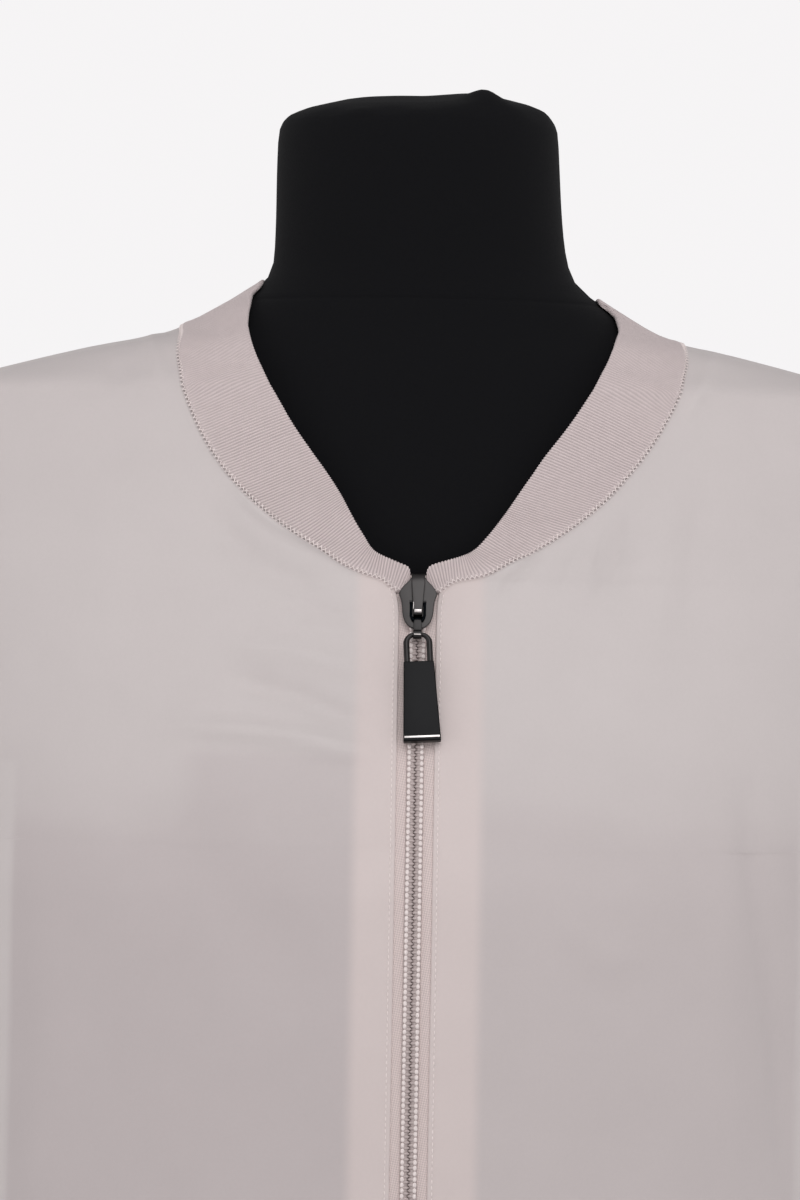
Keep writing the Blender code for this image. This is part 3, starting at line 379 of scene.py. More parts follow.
def points_on(rows, turn, z):
    """Points of a body with those sections at turn radians round from centre front to the wearer's left."""
    turn, z = np.broadcast_arrays(np.asarray(turn, float), np.asarray(z, float))
    half_width, front, back, power = section_at(rows, z)
    across, ahead = np.sin(turn), np.cos(turn)
    reach = np.where(ahead > 0, front, back)
    return np.stack(
        [
            half_width * np.sign(across) * np.abs(across) ** (2 / power) + form_lean(z),
            -reach * np.sign(ahead) * np.abs(ahead) ** (2 / power),
            z,
        ],
        axis=-1,
    )


def soft_step(t):
    t = np.clip(t, 0, 1)
    return t * t * (3 - 2 * t)


def unit(vectors):
    return vectors / np.maximum(np.linalg.norm(vectors, axis=-1, keepdims=True), 1e-12)


def cloth_sections():
    over = [
        Section(
            row.z + REST_GAP, row.half_width, row.front + CHEST_EASE, row.back + BACK_EASE,
            row.power + SHOULDER_FULLNESS,
        )
        for row in FORM_SECTIONS
        if row.z > SHOULDER_FROM_Z
    ]
    return HANGING_SECTIONS + over


CLOTH_SECTIONS = cloth_sections()


def cloth_points(turn, z):
    """Points of the cloth's inner face."""
    points = points_on(CLOTH_SECTIONS, turn, z)
    out = np.zeros(points.shape[:-1])
    for fold in FOLDS:
        away = (np.degrees(turn) - fold.turn + 180) % 360 - 180
        hang = soft_step((fold.from_z - z) / (fold.from_z - HEM_Z))
        out = out + fold.out * hang * np.exp(-((away / fold.spread) ** 2))
    return points + unit(points * (1, 1, 0)) * out[..., None]


def cloth_normals(turn, z):
    turn_step, z_step = 0.01, 1.0 * MM
    across = cloth_points(turn + turn_step, z) - cloth_points(turn - turn_step, z)
    up = cloth_points(turn, z + z_step) - cloth_points(turn, z - z_step)
    return unit(np.cross(across, up))


def crease_out(points):
    """How far the listed creases push the cloth of the fronts out at each point."""
    x, z = points[..., 0], points[..., 2]
    out = np.zeros(x.shape)
    for crease in FRONT_CREASES:
        path = crease.path
        lengths = np.linalg.norm(np.diff(path, axis=0), axis=1)
        passed, total = 0.0, lengths.sum()
        nearest, share = np.full(x.shape, 1.0), np.zeros(x.shape)
        for start, end, length in zip(path, path[1:], lengths):
            run = (end - start) / length
            along = np.clip((x - start[0]) * run[0] + (z - start[1]) * run[1], 0, length)
            away = np.hypot(x - start[0] - run[0] * along, z - start[1] - run[1] * along)
            closer = away < nearest
            nearest = np.where(closer, away, nearest)
            share = np.where(closer, (passed + along) / total, share)
            passed += length
        ends = soft_step(share / CREASE_FADE) * soft_step((1 - share) / CREASE_FADE)
        out += crease.out * ends * np.exp(-((nearest / crease.width) ** 2))
    return np.where(points[..., 1] < 0, out, 0.0)


def turn_at(x, z):
    """Turn of the cloth's place in front at x and height z."""
    half_width, _, _, power = section_at(CLOTH_SECTIONS, z)
    x = x - form_lean(z)
    share = np.minimum(np.abs(x) / half_width, 1.0)
    return np.sign(x) * np.arcsin(share ** (power / 2))


def beside_seam(z, reach_name):
    """Radians from the side or shoulder line to a panel's edge."""
    _, front, back, power = section_at(CLOTH_SECTIONS, z)
    reach = front if reach_name == "front" else back
    return np.arcsin((SEAM_HALF / reach) ** (power / 2))


def lean_at(z):
    """The gilet's middle, by height."""
    return CENTRE_X + NECK_LEAN * soft_step((z - LEAN_FROM_Z) / (LEAN_TO_Z - LEAN_FROM_Z))


def ridge_height(side, half_at):
    """The height at which an edge at this distance from the gilet's middle meets the shoulder line."""
    heights = np.linspace(SHOULDER_TIP_Z, NECK_TOP_Z - NECK_ROUNDING, 4000)
    reach = half_at(heights) + side * (lean_at(heights) - form_lean(heights))
    return float(heights[section_at(CLOTH_SECTIONS, heights)[0] > reach][-1])


def lengths_along(places):
    """Distances on the cloth from the start of a dense path to each of its places."""
    steps = np.linalg.norm(np.diff(cloth_points(places[:, 0], places[:, 1]), axis=0), axis=1)
    return np.concatenate([[0], np.cumsum(steps)])


def at_lengths(places, wanted):
    """Places (turn, z) at wanted distances along a dense path."""
    along = lengths_along(places)
    return np.stack([np.interp(wanted, along, places[:, k]) for k in (0, 1)], axis=1)


def evenly(places, count):
    """Places (turn, z) along a dense path, evenly spaced on the cloth."""
    return at_lengths(places, np.linspace(0, lengths_along(places)[-1], count))


def neckline_half(z):
    """Distance of the neckline from the gilet's middle, by height."""
    drop = np.clip((NECK_MIDDLE_Z - z) / NECK_DEPTH, 0, 1)
    return NECK_HALF * (1 - drop**NECK_POWER) ** (1 / NECK_POWER)


def neckline_front_z(half):
    return NECK_MIDDLE_Z - NECK_DEPTH * (1 - (half / NECK_HALF) ** NECK_POWER) ** (1 / NECK_POWER)


def band_half(z, side):
    return by_rows(BAND_EDGE, z) + by_rows(EDGE_OUT[side], z)


def rising_edge(side, half_at, from_z, drop=((0, 0), (1, 0))):
    """Dense places up an edge in front, from from_z to the shoulder line."""
    to_z = ridge_height(side, half_at)
    t = np.linspace(0, 1, SAMPLES + 1)
    z = from_z + (to_z - from_z) * (1 - np.cos(math.pi * t)) / 2
    half = half_at(z)
    z = z - by_rows(drop, half)
    turn = turn_at(side * half + lean_at(z), z)
    turn[-1] = side * math.pi / 2
    return np.stack([turn, z], axis=1)


def neckline(side):
    return rising_edge(side, neckline_half, neckline_front_z(FRONT_EDGE), NECK_DROP[side])


def band_edge(side):
    return rising_edge(side, lambda z: band_half(z, side), BAND_EDGE[0][0] * MM)


def back_neck(side, shoulder_z, middle_z):
    """Dense places from the shoulder line round to the centre back."""
    t = np.linspace(0, 1, SAMPLES + 1)
    z = shoulder_z + (middle_z - shoulder_z) * np.sin(math.pi * t / 2) ** 2
    return np.stack([side * (math.pi / 2) * (1 + t), z], axis=1)


def armhole(side, cut, reach_name):
    """Dense places from the underarm up to the shoulder tip. cut is below zero on the back."""
    t = np.linspace(0, 1, SAMPLES + 1)
    z = UNDERARM_Z + (SHOULDER_TIP_Z - UNDERARM_Z) * (1 - np.cos(math.pi * t)) / 2
    bow = math.radians(cut) * np.sin(math.pi * t) ** ARMHOLE_POWER
    turn = math.pi / 2 - np.sign(cut) * beside_seam(z, reach_name) - bow
    return np.stack([side * turn, z], axis=1)


def panel_heights(neck, arm):
    """Heights of a panel's rows, closer together where its edges run nearly level."""
    low = np.linspace(HEM_Z, UNDERARM_Z, LOWER_ROWS + 1)
    even = np.linspace(UNDERARM_Z, neck[-1, 1], UPPER_ROWS + 1)
    curved = np.concatenate([evenly(path, EDGE_ROWS)[:, 1] for path in (neck, arm)])
    heights = np.unique(np.concatenate([low, even, curved]))
    kept = [heights[0]]
    for z in heights[1:-1]:
        if min(z - kept[-1], heights[-1] - z) > LEAST_STEP:
            kept.append(z)
    return np.array(kept + [heights[-1]])


def panel_places(side, reach_name, middle, neck, cut, z=None):
    """Turn and height over half a panel: level rows from hem to shoulder, columns from its middle out.

    middle gives the turn of its middle edge by height, neck is the path of its neckline, and cut is how far
    the armhole bows into it, in degrees. It also gives how many rows lie below the neckline.
    """
    turned = 1 if reach_name == "front" else -1
    arm = armhole(side, cut, reach_name)
    neck = neck[np.argsort(neck[:, 1])]
    z = panel_heights(neck, arm) if z is None else z
    seam = side * (math.pi / 2 - turned * beside_seam(z, reach_name))
    first = np.where(z < neck[0, 1], middle(np.minimum(z, neck[0, 1])), np.interp(z, neck[:, 1], neck[:, 0]))
    inside = (z > UNDERARM_Z) & (z < SHOULDER_TIP_Z)
    second = np.where(inside, np.interp(z, arm[:, 1], arm[:, 0]), seam)
    across = np.linspace(0, 1, PANEL_COLUMNS + 1)[None]
    plain = middle(np.minimum(z, neck[0, 1]))
    cut_in, wide = np.abs(first - plain), np.abs(second - plain)
    reach = np.clip(NECK_SQUEEZE * cut_in, 1e-6, wide)
    beside = np.clip(1 - wide[:, None] * across / reach[:, None], 0, 1)
    turn = plain[:, None] * (1 - across) + second[:, None] * across + (first - plain)[:, None] * beside
    return np.stack([turn, z[:, None] + 0 * across], axis=-1), int((z < neck[0, 1]).sum())


def front_half(side, z):
    """Distance of a front's edge from the zip's middle."""
    return FRONT_EDGE + FLARE[side] * np.exp(-(FRONT_TOP_Z - z) / FLARE_RUN)


def front_places(side):
    top = front_half(side, FRONT_TOP_Z)
    neck = rising_edge(side, neckline_half, neckline_front_z(top), NECK_DROP[side])
    return panel_places(
        side, "front", lambda z: turn_at(CENTRE_X + side * front_half(side, z), z), neck, FRONT_ARMHOLE
    )


def back_places():
    """Both halves of the back, with the same rows up to the neckline, where they meet."""
    necks = [back_neck(side, neckline(side)[-1][1], BACK_NECK_Z) for side in (1, -1)]
    left = panel_places(1, "back", lambda z: np.full(len(z), math.pi), necks[0], -BACK_ARMHOLE)[0]
    z = left[:, 0, 1]
    stretch = (necks[1][0, 1] - BACK_NECK_Z) / (necks[0][0, 1] - BACK_NECK_Z)
    z = np.where(z < BACK_NECK_Z, z, BACK_NECK_Z + (z - BACK_NECK_Z) * stretch)
    right = panel_places(-1, "back", lambda z: np.full(len(z), -math.pi), necks[1], -BACK_ARMHOLE, z)[0]
    return left[:, ::-1], right


# Meshes


def new_object(name, mesh, material):
    piece = bpy.data.objects.new(name, mesh)
    bpy.context.scene.collection.objects.link(piece)
    mesh.materials.clear()
    mesh.materials.append(material)
    mesh.shade_smooth()
    return piece


def select_none():
    for thing in bpy.context.selected_objects:
        thing.select_set(False)


def select_only(piece):
    select_none()
    bpy.context.view_layer.objects.active = piece
    piece.select_set(True)


def changed_by(piece, kind, **settings):
    """Applies a modifier with these settings."""
    select_only(piece)
    made = piece.modifiers.new(kind.lower(), kind)
    for key, value in settings.items():
        setattr(made, key, value)
    bpy.ops.object.modifier_apply(modifier=made.name)


def cap_ends(mesh, count):
    """Closes the first and the last ring of count points, and turns all faces outwards."""
    shape = bmesh.new()
    shape.from_mesh(mesh)
    points = list(shape.verts)
    for ring in (points[:count], points[-count:]):
        shape.faces.new(ring)
    bmesh.ops.recalc_face_normals(shape, faces=shape.faces)
    shape.to_mesh(mesh)
    shape.free()


def grid_mesh(name, points, uv, closed=False, values=None):
    """A mesh through a grid of points, where none is nan, with a UV in metres and per-point values."""
    rows, columns = points.shape[:2]
    index = np.arange(rows * columns).reshape(rows, columns)
    if closed:
        index = np.concatenate([index, index[:, :1]], axis=1)
    faces = np.stack([index[:-1, :-1], index[:-1, 1:], index[1:, 1:], index[1:, :-1]], axis=-1)
    faces = faces.reshape(-1, 4)
    points, uv = points.reshape(-1, 3), uv.reshape(-1, 2)
    there = ~np.isnan(points[:, 0])
    faces = faces[there[faces].all(axis=1)]
    number = np.cumsum(there) - 1
    mesh = bpy.data.meshes.new(name)
    mesh.from_pydata(points[there].tolist(), [], number[faces].tolist())
    corners = np.empty(len(mesh.loops), np.int32)
    mesh.loops.foreach_get("vertex_index", corners)
    layer = mesh.uv_layers.new(name="UVMap")
    layer.data.foreach_set("uv", uv[there][corners].astype(np.float32).ravel())
    for key, value in (values or {}).items():
        made = mesh.attributes.new(key, "FLOAT", "POINT")
        made.data.foreach_set("value", value.reshape(-1)[there].astype(np.float32))
    return mesh


def cloth_uv(points):
    """Distances in metres across and up a grid of points, for the weave."""
    filled = np.nan_to_num(points)
    across = np.linalg.norm(np.diff(filled, axis=1), axis=2)
    up = np.linalg.norm(np.diff(filled, axis=0), axis=2)
    across, up = np.minimum(across, LONGEST_STEP), np.minimum(up, LONGEST_STEP)
    u = np.concatenate([np.zeros((len(filled), 1)), np.cumsum(across, axis=1)], axis=1)
    v = np.concatenate([np.zeros((1, filled.shape[1])), np.cumsum(up, axis=0)], axis=0)
    return np.stack([u, v], axis=-1)


def apply_wall(piece, thickness):
    changed_by(piece, "SOLIDIFY", thickness=thickness, offset=0.0)
    piece.data.shade_smooth()


def show_through_and_shade(points):
    """How much of the dark form shows behind the cloth at each point, with painted shade below the bust and by
    the neckband.
    """
    x, z = points[..., 0], np.nan_to_num(points[..., 2])
    half_width = np.where(z < FORM_SEEN_Z, FORM_SEEN_HALF, section_at(FORM_SECTIONS, z)[0])
    behind = soft_step((half_width + FORM_BLUR - np.abs(x)) / (2 * FORM_BLUR))
    heights, shares = np.array(SHOW_THROUGH_AND_SHADE).T
    share = smooth_at(heights * MM, shares, z - by_rows(SHOW_THROUGH_AND_SHADE_RISE, x))
    beside, over = PRESSED_SOFT
    pressed = soft_step((x - PRESSED[0]) / beside) * soft_step((PRESSED[1] - x) / beside)
    pressed = pressed * soft_step((PRESSED_TOP_Z - z) / over) * PRESSED_SHARE
    shown = behind * np.maximum(share, np.minimum(share + pressed, PRESSED_MOST))
    shown = shown * np.where(x > 0, SHOW_THROUGH_AND_SHADE_LEFT, 1.0)
    below = soft_step((UNDERARM_Z + BACK_BLUR - z) / (2 * BACK_BLUR))
    within = soft_step((FORM_SEEN_HALF - np.abs(x)) / BACK_BLUR)
    return np.where(points[..., 1] < 0, shown, SHOW_THROUGH_AND_SHADE_BACK * below * within)


def turned(edge, normals, out, back):
    """Rows of a turned edge: half round, then back under the cloth. out points away from the cloth."""
    bend = [
        edge + out * TURN_RADIUS * math.sin(angle) - normals * TURN_RADIUS * (1 - math.cos(angle))
        for angle in np.linspace(0, math.pi, TURN_ROWS - 1)[1:]
    ]
    under = edge - normals * 2 * TURN_RADIUS
    return np.stack(bend + [under - out * back * share for share in (0.5, 1.0)])


Edge = namedtuple("Edge", "rows back")
ZIP_BACK, SIDE_BACK, HEM_BACK = 6.0 * MM, 7.0 * MM, 18.0 * MM


def outwards(points, beside, normals):
    """Directions out of an edge, square to it."""
    square = unit(np.cross(np.gradient(points, axis=0), normals))
    return square * np.sign((square * (points - beside)).sum(-1))[:, None]


def panel_mesh(name, places, first_edge, last_edge):
    """A panel with its hem, front edge and armholes turned under. Its columns run to the wearer's left."""
    turn, z = places[..., 0], places[..., 1]
    normals = cloth_normals(turn, z)
    face = cloth_points(turn, z) + normals * CLOTH_OFF
    face = face + normals * crease_out(face)[..., None]
    rows, columns = face.shape[:2]
    n = TURN_ROWS
    points = np.full((n + rows, columns + 2 * n, 3), np.nan)
    points[n:, n:-n] = face
    points[:n, n:-n] = turned(face[0], normals[0], unit(face[0] - face[1]), HEM_BACK)[::-1]
    for edge, at, beside in ((first_edge, 0, 1), (last_edge, -1, -2)):
        if edge is None:
            continue
        part = face[edge.rows, at]
        out = outwards(part, face[edge.rows, beside], normals[edge.rows, at])
        strip = turned(part, normals[edge.rows, at], out, edge.back).transpose(1, 0, 2)
        target = points[n:][edge.rows]
        if at == 0:
            target[:, :n] = strip[:, ::-1]
        else:
            target[:, -n:] = strip
    return grid_mesh(name, points, cloth_uv(points), values={"form_behind": show_through_and_shade(points)})


def strip_places(side, halves, heights):
    """Turn and height along the zip at these distances from its middle, in order to the wearer's left."""
    x = CENTRE_X + side * np.asarray(halves)[::side]
    z = np.asarray(heights)
    turn = turn_at(x[None, :] + 0 * z[:, None], z[:, None] + 0 * x[None, :])
    return np.stack([turn, z[:, None] + 0 * x[None, :]], axis=-1)


def strip_points(side, halves, heights, offs):
    """Points of a strip beside the zip, each column at its own distance off the cloth's inner face."""
    places = strip_places(side, halves, heights)
    turn, z = places[..., 0], places[..., 1]
    return cloth_points(turn, z) + cloth_normals(turn, z) * np.asarray(offs)[::side][None, :, None]


def copies(name, source, places, material):
    """One object of many copies of a small mesh, each set by a 3 by 4 matrix of axes and place."""
    count = len(source.vertices)
    base = np.empty(count * 3)
    source.vertices.foreach_get("co", base)
    base = base.reshape(-1, 3)
    faces = [tuple(face.vertices) for face in source.polygons]
    points = np.einsum("vk,nik->nvi", base, places[:, :, :3]) + places[:, None, :, 3]
    mesh = bpy.data.meshes.new(name)
    mesh.from_pydata(
        points.reshape(-1, 3).tolist(),
        [],
        [tuple(v + i * count for v in face) for i in range(len(places)) for face in faces],
    )
    return new_object(name, mesh, material)


def bead_shape(*size):
    """The mesh of a small round bead, shaped to half sizes across, out and along, for copying."""
    select_none()
    bpy.ops.mesh.primitive_uv_sphere_add(segments=8, ring_count=5, radius=1.0)
    piece = bpy.context.object
    mesh = piece.data
    mesh.transform(Matrix.Diagonal((*size, 1)))
    bpy.data.objects.remove(piece, do_unlink=True)
    return mesh


def frames_at(points, along, normals):
    """Axes and places for copies whose long axis Z lies along the way, and Y out of the cloth."""
    z = unit(along)
    y = unit(normals - z * (normals * z).sum(-1, keepdims=True))
    return np.stack([np.cross(y, z), y, z, points], axis=-1)


def stitched(name, places, off, stitch, material, turn=0.0):
    """A row of stitches along dense places on the cloth, each turned to one side and the other by turns."""
    even = evenly(places, int(lengths_along(places)[-1] / stitch.pitch) + 1)
    normals = cloth_normals(even[:, 0], even[:, 1])
    points = cloth_points(even[:, 0], even[:, 1]) + normals * off
    points = points + normals * crease_out(points)[:, None]
    middle = (points[1:] + points[:-1]) / 2
    ahead, out = unit(np.diff(points, axis=0)), unit(normals[1:] + normals[:-1])
    turns = turn * (-1.0) ** np.arange(len(ahead))[:, None]
    ahead = ahead * np.cos(turns) + np.cross(out, ahead) * np.sin(turns)
    frames = frames_at(middle, ahead, out)
    shape = bead_shape(stitch.radius, stitch.radius, stitch.length / 2)
    return copies(name, shape, frames, material)


# Materials


def node(tree, kind, inputs=None, **settings):
    """A new node, with its settings, and with each input linked to a socket or set to a value."""
    made = tree.nodes.new(kind)
    for key, value in settings.items():
        setattr(made, key, value)
    for key, value in (inputs or {}).items():
        if isinstance(value, bpy.types.NodeSocket):
            tree.links.new(value, made.inputs[key])
        else:
            made.inputs[key].default_value = value
    return made


def maths(tree, operation, *values, clamp=False):
    made = node(tree, "ShaderNodeMath", dict(enumerate(values)), operation=operation, use_clamp=clamp)
    return made.outputs[0]


def rising(tree, value, low, high):
    """A soft step from 0 at low to 1 at high."""
    ends = {"Value": value, "From Min": low, "From Max": high}
    return node(tree, "ShaderNodeMapRange", ends, interpolation_type="SMOOTHSTEP").outputs["Result"]


def mixed(tree, share, first, second, **settings):
    """A colour between two, each a socket or three numbers."""
    pair = [end if isinstance(end, bpy.types.NodeSocket) else (*end, 1) for end in (first, second)]
    inputs = {"Factor": share, 6: pair[0], 7: pair[1]}
    return node(tree, "ShaderNodeMix", inputs, data_type="RGBA", **settings).outputs[2]


def tinted(tree, colour, value):
    """A colour, a socket or three numbers, made lighter or darker by a value round 0."""
    if not isinstance(colour, bpy.types.NodeSocket):
        colour = tuple(colour)[:3]
    factor = maths(tree, "ADD", value, 1.0)
    return node(tree, "ShaderNodeVectorMath", {0: colour, 3: factor}, operation="SCALE").outputs[0]


def new_group(name, inputs, outputs):
    """An empty shader node group with named float or vector inputs and float outputs."""
    tree = bpy.data.node_groups.new(name, "ShaderNodeTree")
    for key, value in inputs.items():
        kind = "NodeSocketVector" if value is None else "NodeSocketFloat"
        socket = tree.interface.new_socket(key, in_out="INPUT", socket_type=kind)
        if value is not None:
            socket.default_value = value
    for key in outputs:
        tree.interface.new_socket(key, in_out="OUTPUT", socket_type="NodeSocketFloat")
    return tree, tree.nodes.new("NodeGroupInput").outputs, tree.nodes.new("NodeGroupOutput").inputs


def weave_group():
    """Crossed threads of a pitch in metres, from a UV in metres: a height from 0 to 1."""
    if "crossed threads" in bpy.data.node_groups:
        return bpy.data.node_groups["crossed threads"]
    tree, given, out = new_group("crossed threads", {"Vector": None, "Pitch": 0.0004}, ["Height"])
    parts = node(tree, "ShaderNodeSeparateXYZ", {"Vector": given["Vector"]}).outputs
    waves = []
    for axis in (0, 1):
        turns = maths(tree, "DIVIDE", parts[axis], given["Pitch"])
        waves.append(maths(tree, "SINE", maths(tree, "MULTIPLY", turns, 2 * math.pi)))
    product = maths(tree, "MULTIPLY", waves[0], waves[1])
    tree.links.new(maths(tree, "MULTIPLY_ADD", product, 0.5, 0.5), out["Height"])
    return tree


def mottle_group():
    """Soft uneven patches of a size in metres and a strength, round 0."""
    if "uneven patches" in bpy.data.node_groups:
        return bpy.data.node_groups["uneven patches"]
    tree, given, out = new_group("uneven patches", {"Vector": None, "Size": 0.02, "Strength": 0.1}, ["Value"])
    scale = maths(tree, "DIVIDE", 1.0, given["Size"])
    inputs = {"Vector": given["Vector"], "Scale": scale, "Detail": 3.0, "Roughness": 0.55}
    noise = node(tree, "ShaderNodeTexNoise", inputs).outputs["Fac"]
    centred = maths(tree, "SUBTRACT", noise, 0.5)
    tree.links.new(maths(tree, "MULTIPLY", centred, given["Strength"]), out["Value"])
    return tree


def patches(tree, coords, size, strength):
    inputs = {"Vector": coords["Object"], "Size": size, "Strength": strength}
    return node(tree, "ShaderNodeGroup", inputs, node_tree=mottle_group()).outputs["Value"]


def threads(tree, vector, pitch):
    inputs = {"Vector": vector, "Pitch": pitch}
    return node(tree, "ShaderNodeGroup", inputs, node_tree=weave_group()).outputs["Height"]


def fill_shader(tree, shader, colour, values, height=None, strength=0.5, distance=0.0):
    """Links a colour, and a bump where a height is given, and sets the shader's constants."""
    tree.links.new(colour, shader["Base Color"])
    if height is not None:
        inputs = {"Height": height, "Strength": strength, "Distance": distance}
        tree.links.new(node(tree, "ShaderNodeBump", inputs).outputs[0], shader["Normal"])
    for key, value in values.items():
        shader[key].default_value = value


def made_once(name):
    """Has a material of this name filled in on its first use, and found after that."""

    def wrap(fill):
        def find():
            if name not in bpy.data.materials:
                fill(*new_material(name))
            return bpy.data.materials[name]

        return find

    return wrap


def new_material(name):
    """A new material's tree, the inputs of its shader, and its coordinates."""
    material = bpy.data.materials.new(name)
    material.use_nodes = True
    tree = material.node_tree
    return tree, tree.nodes["Principled BSDF"].inputs, tree.nodes.new("ShaderNodeTexCoord").outputs


@made_once("crepe cloth")
def cloth_material(tree, shader, coords):
    settings = bpy.context.scene.gilet_cloth
    # Painted shade: the cloth darkens towards the over-form colour where the form shows through, below the bust
    # and by the neckband
    seen = node(tree, "ShaderNodeAttribute", attribute_name="form_behind").outputs["Fac"]
    place = node(tree, "ShaderNodeSeparateXYZ", {"Vector": coords["Object"]}).outputs
    aside = maths(tree, "ABSOLUTE", maths(tree, "SUBTRACT", place[0], FACINGS_AT))
    strip = rising(tree, aside, FACINGS_HALF + FACING_BLUR, FACINGS_HALF - FACING_BLUR)
    doubled = maths(tree, "MULTIPLY", strip, maths(tree, "LESS_THAN", place[1], 0.0))
    body = mixed(tree, seen, settings.colour, settings.over_form_and_shade)
    shade = mixed(tree, doubled, body, settings.doubled)
    uneven = maths(tree, "ADD", patches(tree, coords, 0.03, 0.06), patches(tree, coords, 0.0012, 0.05))
    fill_shader(
        tree, shader, tinted(tree, shade, uneven),
        {"Roughness": 0.62, "Specular IOR Level": 0.35, "Sheen Weight": 0.12, "Sheen Roughness": 0.5},
        threads(tree, coords["UV"], settings.thread_pitch), 0.35, 0.00006,
    )


@made_once("rib knit")
def rib_material(tree, shader, coords):
    ribs = node(tree, "ShaderNodeAttribute", attribute_name="rib").outputs["Fac"]
    # Painted shade: the grooves between the ribs are darker and the ribs' crowns lighter
    groove_shade = maths(tree, "MULTIPLY_ADD", ribs, 0.52, -0.30)
    shade = maths(tree, "ADD", patches(tree, coords, 0.004, 0.10), groove_shade)
    fill_shader(
        tree, shader, tinted(tree, bpy.context.scene.gilet_cloth.rib, shade),
        {"Roughness": 0.9, "Specular IOR Level": 0.2, "Sheen Weight": 0.2},
        threads(tree, coords["UV"], 0.0009), 0.5, 0.00015,
    )


@made_once("zip tape")
def tape_material(tree, shader, coords):
    turn = node(tree, "ShaderNodeMapping", {"Vector": coords["UV"], "Rotation": (0, 0, math.radians(35))})
    height = threads(tree, turn.outputs[0], 0.0009)
    shade = maths(tree, "MULTIPLY_ADD", height, 0.6, -0.26)
    fill_shader(
        tree, shader, tinted(tree, bpy.context.scene.gilet_zip.tape, shade),
        {"Roughness": 0.85, "Specular IOR Level": 0.25}, height, 0.6, 0.00012,
    )


@made_once("smoked metal")
def metal_material(tree, shader, coords):
    settings = bpy.context.scene.gilet_zip
    polished = node(tree, "ShaderNodeAttribute", attribute_name="polished").outputs["Fac"]
    wear = patches(tree, coords, 0.004, 0.10)
    # The bright colour gives a lighter tone, painted highlights and, below 0, painted shadow where the
    # attribute says
    colour = mixed(tree, polished, tinted(tree, settings.metal, wear), settings.polished, clamp_factor=False)
    fill_shader(tree, shader, colour, {"Metallic": 1.0})
    tree.links.new(maths(tree, "ADD", wear, 0.32, clamp=True), shader["Roughness"])


def plain_grained(name, colour, roughness, size=0.0015, strength=0.12, bump=0.00002, **more):
    """A material of one colour with a fine uneven grain. more holds other inputs of its shader."""
    if name in bpy.data.materials:
        return bpy.data.materials[name]
    tree, shader, coords = new_material(name)
    grain = patches(tree, coords, size, strength)
    values = {key.replace("_", " "): value for key, value in more.items()}
    fill_shader(tree, shader, tinted(tree, colour, grain), values, grain, 0.5, bump / strength)
    tree.links.new(maths(tree, "ADD", grain, roughness, clamp=True), shader["Roughness"])
    return bpy.data.materials[name]


def coil_material():
    return plain_grained("zip coil", bpy.context.scene.gilet_zip.coil, 0.5)


def thread_material():
    return plain_grained("sewing thread", bpy.context.scene.gilet_zip.thread, 0.7)


def jersey_material():
    return plain_grained(
        "black jersey", bpy.context.scene.gilet_form.jersey, 0.92, 0.0009, 0.4, 0.00006,
        Sheen_Weight=0.02, Specular_IOR_Level=0.08,
    )


def board_material():
    return plain_grained("painted board", bpy.context.scene.gilet_form.board, 0.5, 0.01, 0.15, 0.00003)


def floor_material():
    """A pale floor that rises softly into the backdrop's light far from the form."""
    material = plain_grained("pale floor", FLOOR_COLOUR, 0.9, 0.5, 0.01, Emission_Strength=FLOOR_GLOW)
    tree = material.node_tree
    coords = node(tree, "ShaderNodeTexCoord").outputs
    away = node(tree, "ShaderNodeVectorMath", {0: coords["Object"]}, operation="LENGTH").outputs["Value"]
    backdrop = [part * bpy.context.scene.gilet_stage.backdrop for part in SKY_COLOUR]
    pale = mixed(tree, rising(tree, away, *FLOOR_RISE), (0, 0, 0), backdrop)
    tree.links.new(pale, tree.nodes["Principled BSDF"].inputs["Emission Color"])
    return material


# Settings that a user would change


def colour_setting(name, description, default):
    return bpy.props.FloatVectorProperty(
        name=name, description=description, default=default, subtype="COLOR", size=3, min=0, max=1
    )


class GiletClothSettings(bpy.types.PropertyGroup):
    """Colours and grain of the cloth and the knit."""

    colour: colour_setting("Cloth", "Single cloth away from the form", (0.545, 0.498, 0.492))
    # A darker cloth colour for the form showing through, which also paints shade below the bust
    over_form_and_shade: colour_setting("Over the form", "Single cloth over the dark form", (0.470, 0.418, 0.418))
    doubled: colour_setting("Doubled cloth", "Cloth with its facing behind it", (0.585, 0.508, 0.496))
    rib: colour_setting("Rib knit", "Knit of the neckband", (0.530, 0.452, 0.450))
    thread_pitch: bpy.props.FloatProperty(
        name="Thread pitch", description="From one thread of the weave to the next", default=0.0004,
        min=0.0001, max=0.002, unit="LENGTH", precision=5,
    )


class GiletZipSettings(bpy.types.PropertyGroup):
    """Colours of the zip."""

    tape: colour_setting("Tape", "Woven tape of the zip", (0.60, 0.51, 0.495))
    coil: colour_setting("Coil", "Teeth of the zip", (0.44, 0.37, 0.36))
    thread: colour_setting("Thread", "Stitches on the zip and the seams", (0.74, 0.66, 0.645))
    # Bright metal colour: the slider's lighter tone and the painted highlights
    polished: colour_setting("Polished metal", "Bright edges of the slider and pull", (0.62, 0.58, 0.57))
    metal: colour_setting("Metal", "Slider, link and pull", (0.011, 0.011, 0.0115))


class GiletFormSettings(bpy.types.PropertyGroup):
    """Colours of the dress form."""

    jersey: colour_setting("Jersey", "Cover of the form", (0.0047, 0.0047, 0.0056))
    board: colour_setting("Board", "Paint of the base", (0.014, 0.014, 0.016))


